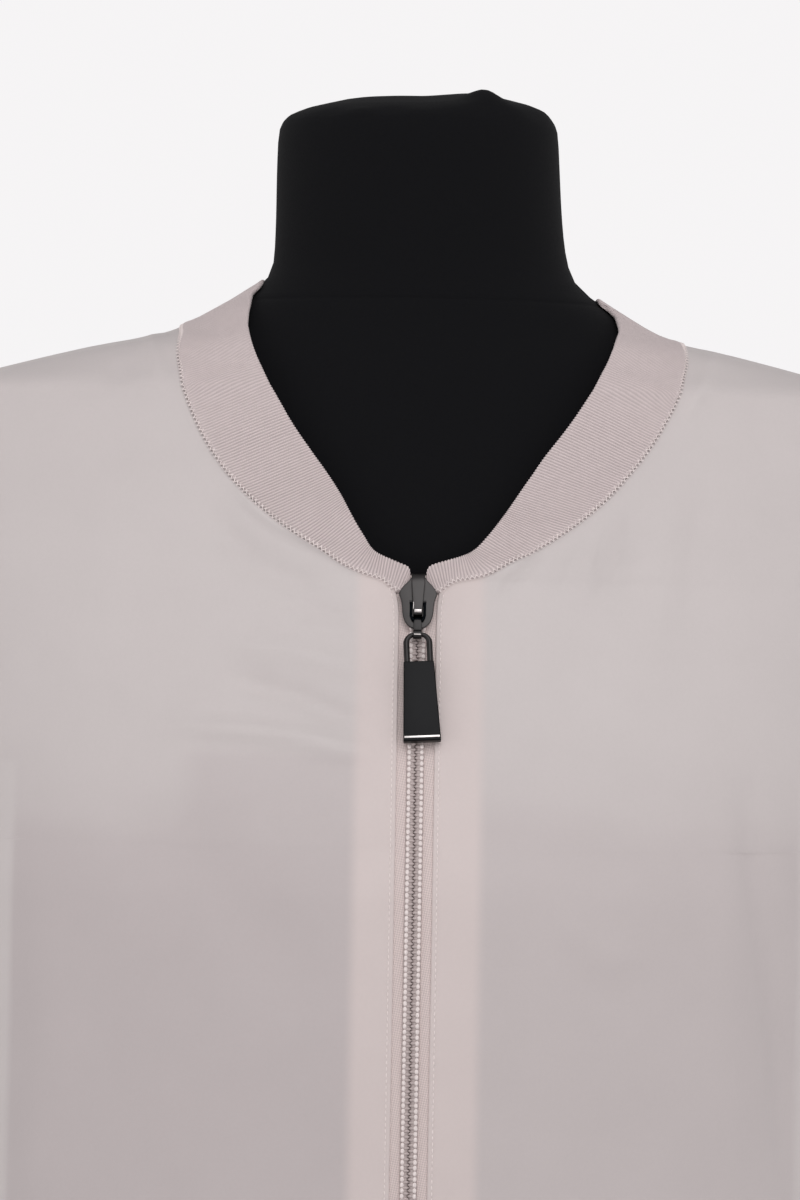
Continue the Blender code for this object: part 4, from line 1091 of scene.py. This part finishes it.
class GiletStageSettings(bpy.types.PropertyGroup):
    """Light of the studio."""

    surround: bpy.props.FloatProperty(
        name="Surround", description="Strength of the soft light from all round", default=0.45, min=0, max=5
    )
    backdrop: bpy.props.FloatProperty(
        name="Backdrop", description="Brightness of the white backdrop", default=0.92, min=0, max=5
    )
    key: bpy.props.FloatProperty(
        name="Key light", description="Power of the large soft lamp", default=34.0, min=0, unit="POWER"
    )


# Operators, one for each group of pieces


class GILET_OT_fronts(bpy.types.Operator):
    """Make the two fronts, with their turned edges"""

    bl_idname = "gilet.fronts"
    bl_label = "Fronts"

    def execute(self, context):
        for name, side in (("front_left", 1), ("front_right", -1)):
            places, neck_row = front_places(side)
            edges = (Edge(slice(0, neck_row), ZIP_BACK), Edge(slice(0, None), SIDE_BACK))
            if side < 0:
                places, edges = places[:, ::-1], edges[::-1]
            mesh = panel_mesh(f"{name}_cloth", places, *edges)
            piece = new_object(f"{name}_cloth", mesh, cloth_material())
            apply_wall(piece, CLOTH_WALL)
            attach(piece, MAIN)
            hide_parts(name)
        return {"FINISHED"}


class GILET_OT_back(bpy.types.Operator):
    """Make the back"""

    bl_idname = "gilet.back"
    bl_label = "Back"

    def execute(self, context):
        left, right = back_places()
        side = Edge(slice(0, None), SIDE_BACK)
        halves = [panel_mesh("back_cloth", left, side, None), panel_mesh("back_half", right, None, side)]
        shape = bmesh.new()
        for half in halves:
            shape.from_mesh(half)
        meeting = [v for v in shape.verts if abs(v.co.x) < 0.1 * MM and v.co.z < BACK_NECK_Z + 0.5 * MM]
        bmesh.ops.remove_doubles(shape, verts=meeting, dist=MERGE_WITHIN)
        mesh = halves[0]
        shape.to_mesh(mesh)
        shape.free()
        bpy.data.meshes.remove(halves[1])
        piece = new_object("back_cloth", mesh, cloth_material())
        apply_wall(piece, CLOTH_WALL)
        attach(piece, MAIN)
        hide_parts("back")
        return {"FINISHED"}


def end_places(side, rows):
    """Places (turn, z) of a tucked end of the neckband."""
    half, z = np.array(rows).T * MM
    return np.stack([turn_at(CENTRE_X + side * half, z), z], axis=1)


def softened(places):
    """A dense path with its corners rounded."""
    places = evenly(places, BAND_SAMPLES)
    for _ in range(BAND_SOFTENING):
        places[1:-1] = (places[:-2] + 2 * places[1:-1] + places[2:]) / 4
    return places


def half_band(side):
    """Sewn and free places of half a neckband, rib by rib, from its end beside the slider to centre back."""
    neck = neckline(side)
    beside = side * (cloth_points(neck[:, 0], neck[:, 1])[:, 0] - lean_at(neck[:, 1]))
    neck = neck[np.argmax(beside > SEWN_FROM):]
    paths, marks = [], []
    for rows, front, back_z in ((SEWN_END, neck, BACK_NECK_Z), (FREE_END, band_edge(side), BACK_BAND_Z)):
        end = end_places(side, rows)
        whole = np.concatenate([end, front, back_neck(side, front[-1][1], back_z)[1:]])
        halves = side * (cloth_points(front[:, 0], front[:, 1])[:, 0] - lean_at(front[:, 1]))
        passed = [len(end) + int((halves < pair[len(paths)] * MM).sum()) for pair in RIB_MARKS]
        along = lengths_along(whole)[[0, *passed, len(end) + len(front) - 1, len(whole) - 1]]
        paths.append(softened(whole))
        marks.append(lengths_along(paths[-1])[-1] * along / along[-1])
    middle = (marks[0] + marks[1]) / 2
    at = np.linspace(0, middle[-1], round(middle[-1] / RIB_PITCH) * RIB_COLUMNS + 1)
    return [at_lengths(path, smooth_at(middle, own, at)) for path, own in zip(paths, marks)], at


def band_places():
    """Sewn and free places of the whole neckband and the distance along it."""
    (sewn_left, free_left), left_at = half_band(1)
    (sewn_right, free_right), right_at = half_band(-1)
    turn_back = np.array([2 * math.pi, 0])
    sewn = np.concatenate([sewn_left, sewn_right[-2::-1] + turn_back])
    free = np.concatenate([free_left, free_right[-2::-1] + turn_back])
    return sewn, free, np.concatenate([left_at, left_at[-1] + right_at[-1] - right_at[-2::-1]])


class GILET_OT_neckband(bpy.types.Operator):
    """Knit the neckband, rib by rib, with a rounded free edge and tucked ends"""

    bl_idname = "gilet.neckband"
    bl_label = "Neckband"

    def execute(self, context):
        sewn, free, along = band_places()
        low, high = (cloth_points(places[:, 0], places[:, 1]) for places in (sewn, free))
        width = np.linalg.norm(high - low, axis=1)
        ribs = (1 - np.cos(2 * math.pi * np.arange(len(sewn)) / RIB_COLUMNS)) / 2
        slow, quick = RIB_DRIFT_RUNS
        drift = RIB_SHARE + RIB_DRIFT * np.sin(along / slow) * np.sin(along / quick + 1.0)
        smoothed = soft_step((RIB_SMOOTH_Z - (sewn[:, 1] + free[:, 1]) / 2) / RIB_SMOOTH_RUN)
        drift *= RIB_SMOOTH_SHARE + (1 - RIB_SMOOTH_SHARE) * smoothed
        sunk = RIB_HEIGHT * (1 - ribs) * drift
        # The ribs' height, kept only for the painted shade in the grooves
        rib_shade = 0.5 + (ribs - 0.5) * drift
        ends = np.minimum(np.minimum(along, along[-1] - along) / END_ROUNDING, 1)
        plump = END_THIN + (1 - END_THIN) * np.sqrt(1 - (1 - ends) ** 2)
        radius, flat = BAND_WALL / 2, np.ones(len(sewn))

        def at(share, off):
            place = sewn + (free - sewn) * share[:, None]
            hug = BAND_HUG * soft_step((place[:, 1] - HUG_FROM_Z) / (HUG_TO_Z - HUG_FROM_Z))
            off = radius + (off - radius) * plump + (BAND_STAND_OFF - hug) * np.clip(share, 0, 1) ** 2
            normals = cloth_normals(place[:, 0], place[:, 1])
            return cloth_points(place[:, 0], place[:, 1]) + normals * off[:, None], normals

        # Round the band's cross-section: points, the ribs' height for the knit's painted groove shade, and the
        # place for the weave
        rows = []
        for reach, off in BAND_ROWS:
            share = np.minimum(reach * MM / width, ROW_SHARE + ROW_SHARE_RISE * max(reach, 0))
            gather = np.clip(reach / GATHER_REACH, 0, 1)
            height = off * MM - gather * sunk
            rows.append((at(share, height)[0], 0.5 + (rib_shade - 0.5) * gather, reach * MM / BAND_WIDTH))
        for level in np.linspace(0, 1, FACE_ROWS + 1)[1:]:
            height = BAND_WALL - sunk
            rows.append((at(share + (1 - share) * level, height)[0], rib_shade, 0.1 + 0.9 * level))
        edge, normals = at(flat, flat * 0)
        out = unit(edge - at(flat * 0.97, flat * 0)[0])
        reach = (radius - sunk) * plump
        for angle in np.linspace(0, math.pi, 7)[1:-1]:
            rise = normals * (radius + reach * math.cos(angle))[:, None]
            rows.append((edge + rise + out * (reach * math.sin(angle))[:, None], rib_shade, 1 + angle / 40))
        for share in (1.0, 0.5, -0.02):
            rows.append((at(flat * share, flat * 0)[0], flat * 0.5, 2.1 - share))
        points, rib, across = zip(*rows)
        points = np.stack(points, axis=1)
        uv = np.stack([np.repeat(along[:, None], len(rows), 1), width[:, None] * np.array(across)], axis=-1)
        mesh = grid_mesh("neckband_knit", points, uv, closed=True, values={"rib": np.stack(rib, axis=1)})
        cap_ends(mesh, len(rows))
        piece = new_object("neckband_knit", mesh, rib_material())
        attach(piece, MAIN)
        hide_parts("neckband")
        path = sewn + (free - sewn) * (NECK_STITCH.inset / width)[:, None]
        seam = stitched(
            "neckband_stitches", path, NECK_STITCH_OFF, NECK_STITCH, thread_material(),
            NECK_STITCH_TURN,
        )
        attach(seam, MAIN)
        return {"FINISHED"}


class GILET_OT_zip(bpy.types.Operator):
    """Weave the zip's tapes and facings, and wind its coil"""

    bl_idname = "gilet.zip"
    bl_label = "Zip"

    def execute(self, context):
        for side, wearer in ((1, "left"), (-1, "right")):
            heights = np.linspace(HEM_Z, TAPE_TOP_Z, 120)
            halves = np.linspace(TAPE_INNER, TAPE_OUTER, 12)
            bow = np.interp(halves, *np.array(TAPE_BOW).T * MM)
            points = strip_points(side, halves, heights, TAPE_OFF + TAPE_WALL / 2 + bow)
            mesh = grid_mesh(f"zip_tape_{wearer}_woven", points, cloth_uv(points))
            tape = new_object(mesh.name, mesh, tape_material())
            apply_wall(tape, TAPE_WALL)
            heights = np.linspace(HEM_Z, neckline_front_z(FRONT_EDGE), 100)
            halves = np.linspace(FACING_FROM, FACING_TO, 8)
            points = strip_points(side, halves, heights, 0 * halves + FACING_OFF + FACING_WALL / 2)
            mesh = grid_mesh(f"facing_{wearer}_cloth", points, cloth_uv(points))
            facing = new_object(mesh.name, mesh, cloth_material())
            apply_wall(facing, FACING_WALL)
            for piece, replaced in ((tape, f"zip_tape_{wearer}"), (facing, f"facing_{wearer}")):
                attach(piece, MAIN)
                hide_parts(replaced)
            self.wind(side, wearer)
        return {"FINISHED"}

    def wind(self, side, wearer):
        """The coil's bed, its turns and the stitches over them."""
        halves, offs = np.array(CHAIN_PROFILE).T * MM
        heights = np.linspace(CHAIN_LOW_Z, CHAIN_TOP_Z, 100)
        points = strip_points(side, halves, heights, offs)
        mesh = grid_mesh(f"zip_chain_{wearer}_bed", points, cloth_uv(points))
        bed = new_object(mesh.name, mesh, coil_material())
        apply_wall(bed, 0.2 * MM)
        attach(bed, MAIN)
        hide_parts(f"zip_chain_{wearer}")
        count = round((CHAIN_TOP_Z - CHAIN_LOW_Z) / BEAD_PITCH)
        steps = np.linspace(CHAIN_LOW_Z, CHAIN_TOP_Z, count + 1)[:-1]
        for name, half, off, size, shift, material in (
            ("turns", TURN_MIDDLE, TURN_OFF, TURN_SIZE, 0.25 + 0.25 * side, coil_material()),
            ("stitches", BEAD_HALF, BEAD_OFF, BEAD_SIZE, 0.5, thread_material()),
        ):
            heights = steps + shift * BEAD_PITCH
            middle = strip_points(side, [half], heights, [off])[:, 0]
            normals = unit(middle - strip_points(side, [half], heights, [off - MM])[:, 0])
            frames = frames_at(middle, np.gradient(middle, axis=0), normals)
            shape = bead_shape(*(length / 2 for length in size))
            piece = copies(f"zip_{name}_{wearer}", shape, frames, material)
            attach(piece, MAIN)


class GILET_OT_stitching(bpy.types.Operator):
    """Stitch the front edges, the hem and the armholes"""

    bl_idname = "gilet.stitching"
    bl_label = "Stitching"

    def execute(self, context):
        off = CLOTH_OFF + CLOTH_WALL / 2 + STITCH_RISE
        rows = []
        for side, wearer in ((1, "left"), (-1, "right")):
            z = np.linspace(HEM_Z + STITCH_LOW, FRONT_TOP_Z - STITCH_TOP, SAMPLES)
            stitch = ZIP_STITCHES[wearer]
            x = CENTRE_X + side * (front_half(side, z) + stitch.inset)
            rows.append((f"front_stitches_{wearer}_1", np.stack([turn_at(x, z), z], axis=1), stitch))
            for cut, reach_name in ((FRONT_ARMHOLE, "front"), (-BACK_ARMHOLE, "back")):
                path = armhole(side, cut, reach_name)[ARMHOLE_TRIM:-ARMHOLE_TRIM]
                path[:, 0] -= side * np.sign(cut) * ARMHOLE_STITCH.inset / ARMHOLE_REACH
                rows.append((f"armhole_stitches_{reach_name}_{wearer}", path, ARMHOLE_STITCH))
            turn = np.linspace(turn_at(CENTRE_X + side * FRONT_EDGE, HEM_Z), side * math.pi, SAMPLES)
            z = np.full(SAMPLES, HEM_Z + HEM_STITCH.inset)
            rows.append((f"hem_stitches_{wearer}", np.stack([turn, z], axis=1), HEM_STITCH))
        for name, path, stitch in rows:
            piece = stitched(name, path, off, stitch, thread_material())
            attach(piece, MAIN)
        return {"FINISHED"}


def slider_matrix(n=0.0, z=0.0, tilt=0.0):
    """From the slider's own frame to its place on the chest. n and z in millimetres."""
    at_turn = turn_at(CENTRE_X, SLIDER_Z)
    normal = cloth_normals(at_turn, SLIDER_Z)
    point = Vector((CENTRE_X, cloth_points(at_turn, SLIDER_Z)[1], SLIDER_Z))
    back = math.atan2(normal[2], -normal[1])
    place = Matrix.Translation(point) @ Matrix.Rotation(-back, 4, "X")
    return place @ Matrix.Translation((0, -n * MM, z * MM)) @ Matrix.Rotation(-tilt, 4, "Y")


def both_sides(rows):
    """A whole outline from its right half, from top to foot."""
    return list(rows) + [(-half, z) for half, z in reversed(rows) if half > 0]


def slab(outline, start, thickness, bevel, segments=3, across=False):
    """A flat piece with eased edges: its outline in millimetres, drawn from in front, or from the side."""
    select_none()
    bpy.ops.mesh.primitive_circle_add(vertices=len(outline), fill_type="NGON")
    piece = bpy.context.object
    for vertex, (a, b) in zip(piece.data.vertices, outline):
        vertex.co = (start * MM, -a * MM, b * MM) if across else (a * MM, -start * MM, b * MM)
    move = (thickness * MM, 0, 0) if across else (0, -thickness * MM, 0)
    bpy.ops.object.mode_set(mode="EDIT")
    bpy.ops.mesh.select_all(action="SELECT")
    bpy.ops.mesh.extrude_region_move(TRANSFORM_OT_translate={"value": move})
    bpy.ops.mesh.select_all(action="SELECT")
    bpy.ops.mesh.normals_make_consistent(inside=False)
    bpy.ops.object.mode_set(mode="OBJECT")
    changed_by(piece, "BEVEL", width=bevel * MM, segments=segments, limit_method="ANGLE")
    return piece


def rod(points, radii):
    """A round wire along points in millimetres, closed at its ends."""
    curve = bpy.data.curves.new("wire", "CURVE")
    curve.dimensions, curve.bevel_depth, curve.bevel_resolution, curve.use_fill_caps = "3D", MM, 3, True
    spline = curve.splines.new("POLY")
    spline.points.add(len(points) - 1)
    for target, point, radius in zip(spline.points, points, radii):
        target.co = (point[0] * MM, -point[1] * MM, point[2] * MM, 1)
        target.radius = radius
    piece = bpy.data.objects.new("wire", curve)
    bpy.context.scene.collection.objects.link(piece)
    select_only(piece)
    bpy.ops.object.convert(target="MESH")
    return bpy.context.object


def set_tone_and_light(piece, share=1.0):
    """Sets how much of the bright metal colour a part takes, from 0, dark, to 1: small shares give a lighter
    tone, 1 a painted highlight, and below 0 a painted shadow.
    """
    made = piece.data.attributes.new("polished", "FLOAT", "POINT")
    made.data.foreach_set("value", np.full(len(piece.data.vertices), share, np.float32))
    return piece


def metal_piece(name, parts, matrix, rides, replaced, shine):
    """Parts made in the slider's frame, as one metal piece on the zip. shine is the share of bright metal
    colour for parts not given one yet.
    """
    for part in parts:
        if "polished" not in part.data.attributes:
            set_tone_and_light(part, shine)
        part.data.transform(matrix)
    select_only(parts[0])
    for part in parts:
        part.select_set(True)
    bpy.ops.object.join()
    piece = bpy.context.object
    piece.name = name
    piece.data.materials.clear()
    piece.data.materials.append(metal_material())
    piece.data.shade_smooth()
    piece.data.set_sharp_from_angle(angle=math.radians(50))
    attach(piece, rides)
    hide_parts(replaced)


class GILET_OT_slider(bpy.types.Operator):
    """Make the slider and the link on its crown"""

    bl_idname = "gilet.slider"
    bl_label = "Slider and link"

    def execute(self, context):
        outline = both_sides(SLIDER_OUTLINE)
        crown = slab(CROWN_OUTLINE, -CROWN_HALF, 2 * CROWN_HALF, 0.25, across=True)
        for vertex in crown.data.vertices:
            share = soft_step((vertex.co.z / MM - CROWN_FROM_Z) / (CROWN_TO_Z - CROWN_FROM_Z))
            vertex.co.x *= 1 + (CROWN_TOP_HALF / CROWN_HALF - 1) * float(share)
        parts = [
            slab(outline, 1.9, 1.1, 0.35),
            slab(outline, -2.3, 1.0, 0.25),
            slab(both_sides(POST_OUTLINE), -1.8, 4.2, 0.1),
            crown,
            # Painted highlights at the crown's foot and at its edge
            set_tone_and_light(slab(FOOT_HIGHLIGHT, -1.3, 2.7, 0.08, 2, across=True)),
            set_tone_and_light(slab(EDGE_HIGHLIGHT, -1.82, 0.3, 0.08, 2, across=True), 0.7),
            # A dark sheet painted as the shadow in the hollow under the crown
            set_tone_and_light(slab(both_sides(HOLLOW_SHADOW), 2.9, 0.15, 0.03, 1), PAINTED_SHADOW_SHARE),
        ]
        metal_piece("zip_slider_metal", parts, slider_matrix(), MAIN, "zip_slider", SLIDER_POLISH)
        angles = np.radians(np.linspace(80, -95, 15))
        eye = [
            (radius * math.cos(a), TAB_HINGE - LINK_HINGE + radius * math.sin(a))
            for radius, turn in ((EYE_OUT, angles), (EYE_IN, angles[::-1])) for a in turn
        ]
        parts = [
            # The link's arms painted darker, as the shadow in the slots beside the crown
            set_tone_and_light(slab(LINK_ARM, -0.5, 1.0, 0.2), PAINTED_SHADOW_SHARE),
            set_tone_and_light(slab([(-half, z) for half, z in LINK_ARM], -0.5, 1.0, 0.2), PAINTED_SHADOW_SHARE),
            slab(both_sides(LINK_SHANK), -0.5, 1.2, 0.2),
            slab(eye, -EYE_HALF, 2 * EYE_HALF, 0.2, across=True),
            rod([(-3.2, 0, 0), (3.2, 0, 0)], [0.55, 0.55]),
            # A thin bar painted as the highlight along the front of the link's eye
            set_tone_and_light(rod([(-1.3, 1.72, -13.5), (1.3, 1.72, -13.5)], [0.27, 0.27])),
        ]
        matrix = slider_matrix(HINGE_N, LINK_HINGE)
        metal_piece("pull_link_metal", parts, matrix, LINK, "pull_link", LINK_POLISH)
        return {"FINISHED"}


class GILET_OT_pull(bpy.types.Operator):
    """Make the pull, shaped like a long padlock"""

    bl_idname = "gilet.pull"
    bl_label = "Pull"

    def execute(self, context):
        half_bail, radii = [(0.0, 0.0, 0.0)], [BAIL_THIN]
        for share in np.linspace(0, 1, 11).tolist():
            angle = math.pi / 2 * share
            x = BAIL_HALF - BAIL_BEND + BAIL_BEND * math.sin(angle)
            half_bail.append((x, 0.0, -BAIL_BEND * (1 - math.cos(angle))))
            radii.append(BAIL_THIN + (BAIL_THICK - BAIL_THIN) * share)
        half_bail.append((BAIL_HALF, 0.0, PULL_TOP - 1.5))
        radii.append(BAIL_THICK)
        bail = [(-x, n, z) for x, n, z in half_bail[:0:-1]] + half_bail
        front = PULL_WALL / 2
        strip = [(front + out, PULL_FOOT + up) for out, up in PULL_HIGHLIGHT]
        wide = PULL_FOOT_HALF - PULL_EASE
        body = both_sides([(PULL_TOP_HALF, PULL_TOP), (PULL_FOOT_HALF, PULL_FOOT)])
        parts = [
            slab(body, -front, PULL_WALL, PULL_EASE, 4),
            set_tone_and_light(rod(bail, radii[:0:-1] + radii), LINK_POLISH),
            # A painted highlight along the pull's foot
            set_tone_and_light(slab(strip, -wide, 2 * wide, 0.06, 2, across=True)),
        ]
        matrix = slider_matrix(HINGE_N, TAB_HINGE, TAB_TILT)
        metal_piece("pull_tab_metal", parts, matrix, PULL, "pull_tab", 0.0)
        return {"FINISHED"}


class GILET_OT_zip_ends(bpy.types.Operator):
    """Ease the stops, the box and the pin of the zip"""

    bl_idname = "gilet.zip_ends"
    bl_label = "Zip ends"

    def execute(self, context):
        for name in ("zip_stop_left", "zip_stop_right", "zip_box", "zip_pin"):
            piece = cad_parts[name].copy()
            piece.data = piece.data.copy()
            context.scene.collection.objects.link(piece)
            piece.name = f"{name}_eased"
            select_only(piece)
            bpy.ops.object.mode_set(mode="EDIT")
            bpy.ops.mesh.select_all(action="SELECT")
            bpy.ops.mesh.remove_doubles(threshold=MERGE_WITHIN)
            bpy.ops.object.mode_set(mode="OBJECT")
            changed_by(piece, "BEVEL", width=0.25 * MM, segments=2, limit_method="ANGLE")
            piece.data.shade_smooth()
            piece.data.materials.clear()
            piece.data.materials.append(coil_material())
            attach(piece, MAIN)
            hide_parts(name)
        return {"FINISHED"}


class GILET_OT_form(bpy.types.Operator):
    """Cover the dress form in jersey, with its neck seam"""

    bl_idname = "gilet.form"
    bl_label = "Dress form"

    def execute(self, context):
        high = NECK_TOP_Z - NECK_TOP[0][1] * MM
        seam = NECK_SEAM_Z + np.array([-2.5, -1.2, -0.5, 0, 0.5, 1.2, 2.5]) * MM
        heights = np.sort(np.concatenate([np.linspace(FORM_LOW_Z, high, 130), seam]))
        turns = np.linspace(0, 2 * math.pi, FORM_TURNS + 1)[:-1]
        points = points_on(FORM_SECTIONS, turns[None], heights[:, None])
        groove = np.exp(-(((heights - NECK_SEAM_Z) / NECK_SEAM_WIDTH) ** 2)) * NECK_SEAM_DEPTH
        points = points - unit(points * (1, 1, 0)) * groove[:, None, None]
        points = np.concatenate([points, self.neck_top(points[-1])])
        mesh = grid_mesh("dress_form_cover", points, cloth_uv(points), closed=True)
        cap_ends(mesh, FORM_TURNS)
        piece = new_object("dress_form_cover", mesh, jersey_material())
        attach(piece, MAIN)
        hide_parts("dress_form")
        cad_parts["form_base"].data.materials.clear()
        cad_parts["form_base"].data.materials.append(board_material())
        return {"FINISHED"}

    def neck_top(self, sides):
        """Rings drawn in from the neck's sides over its top, gathered in small waves round one pleat."""
        reach = np.linalg.norm(sides[:, :2], axis=1)
        insets, drops = np.array(NECK_TOP).T * MM
        rings = []
        steps = np.concatenate([np.linspace(0.2, 3, 8), np.linspace(4, 18, 10), np.linspace(21, 42, 6)])
        for inset in steps * MM:
            ring = sides * ((reach - inset) / reach)[:, None]
            x, y, z = ring.T
            z[:] = NECK_TOP_Z - np.interp(inset, insets, drops)
            round_it = np.arctan2(x, y)
            waves = TOP_WAVE * (np.sin(9 * round_it) + np.sin(14 * round_it + 1))
            pleat = np.hypot(x - TOP_PLEAT[0], y - TOP_PLEAT[1]) / TOP_PLEAT_SIZE
            z += TOP_RISE * soft_step(x / TOP_RISE_RUN) * min(inset / TOP_RISE_INSET, 1)
            z += TOP_PLEAT_OUT * np.exp(-(pleat**2)) + waves * math.sin(min(inset / TOP_WAVE_RUN, 1) * math.pi)
            rings.append(ring)
        return np.stack(rings)


class GILET_OT_stage(bpy.types.Operator):
    """Set the floor, the light and the camera"""

    bl_idname = "gilet.stage"
    bl_label = "Studio"

    def execute(self, context):
        settings = context.scene.gilet_stage
        select_none()
        bpy.ops.mesh.primitive_plane_add(size=FLOOR_SIZE, location=(0, 0, 0))
        floor = context.object
        floor.name = "floor"
        floor.data.materials.append(floor_material())
        world = bpy.data.worlds.new("studio")
        context.scene.world = world
        world.use_nodes = True
        tree = world.node_tree
        sky = tree.nodes["Background"].inputs
        sky["Color"].default_value = (*SKY_COLOUR, 1)
        seen = node(tree, "ShaderNodeLightPath").outputs["Is Camera Ray"]
        strength = maths(tree, "MULTIPLY_ADD", seen, settings.backdrop - settings.surround, settings.surround)
        tree.links.new(strength, sky["Strength"])
        for name, place, size, share in LAMPS:
            light = bpy.data.lights.new(name, "AREA")
            light.size = size
            light.energy = settings.key * share
            lamp = bpy.data.objects.new(name, light)
            context.scene.collection.objects.link(lamp)
            lamp.location = place
            lamp.rotation_euler = (Vector(LAMP_AIM) - Vector(place)).to_track_quat("-Z", "Y").to_euler()
        camera = bpy.data.objects.new("camera", bpy.data.cameras.new("camera"))
        context.scene.collection.objects.link(camera)
        camera.location = (CAMERA_X, -CAMERA_AWAY, CAMERA_Z)
        camera.rotation_euler = (math.pi / 2, -math.radians(CAMERA_ROLL), 0)
        camera.data.sensor_width = SENSOR
        camera.data.lens = SENSOR * CAMERA_AWAY / CAMERA_TALL
        camera.data.clip_end = 2 * FLOOR_SIZE
        context.scene.camera = camera
        context.scene.view_settings.view_transform = "Standard"
        return {"FINISHED"}


class GILET_PT_pieces(bpy.types.Panel):
    """The gilet's pieces and settings"""

    bl_label = "Gilet"
    bl_idname = "GILET_PT_pieces"
    bl_space_type = "VIEW_3D"
    bl_region_type = "UI"
    bl_category = "Gilet"

    def draw(self, context):
        for group in (
            context.scene.gilet_cloth, context.scene.gilet_zip, context.scene.gilet_form,
            context.scene.gilet_stage,
        ):
            box = self.layout.box()
            for key in group.__annotations__:
                box.prop(group, key)
        for operator in OPERATORS:
            self.layout.operator(operator.bl_idname)


SETTINGS = {
    "gilet_cloth": GiletClothSettings,
    "gilet_zip": GiletZipSettings,
    "gilet_form": GiletFormSettings,
    "gilet_stage": GiletStageSettings,
}
OPERATORS = (
    GILET_OT_form, GILET_OT_fronts, GILET_OT_back, GILET_OT_neckband, GILET_OT_zip, GILET_OT_zip_ends,
    GILET_OT_stitching, GILET_OT_slider, GILET_OT_pull, GILET_OT_stage,
)


def register():
    for made in (*SETTINGS.values(), *OPERATORS, GILET_PT_pieces):
        bpy.utils.register_class(made)
    for key, made in SETTINGS.items():
        setattr(bpy.types.Scene, key, bpy.props.PointerProperty(type=made))


def unregister():
    for key in SETTINGS:
        delattr(bpy.types.Scene, key)
    for made in (GILET_PT_pieces, *OPERATORS[::-1], *SETTINGS.values()):
        bpy.utils.unregister_class(made)


def main():
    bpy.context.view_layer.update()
    register()
    bpy.ops.gilet.form()
    bpy.ops.gilet.fronts()
    bpy.ops.gilet.back()
    bpy.ops.gilet.neckband()
    bpy.ops.gilet.zip()
    bpy.ops.gilet.zip_ends()
    bpy.ops.gilet.stitching()
    bpy.ops.gilet.slider()
    bpy.ops.gilet.pull()
    bpy.ops.gilet.stage()


if __name__ == "__main__":
    main()
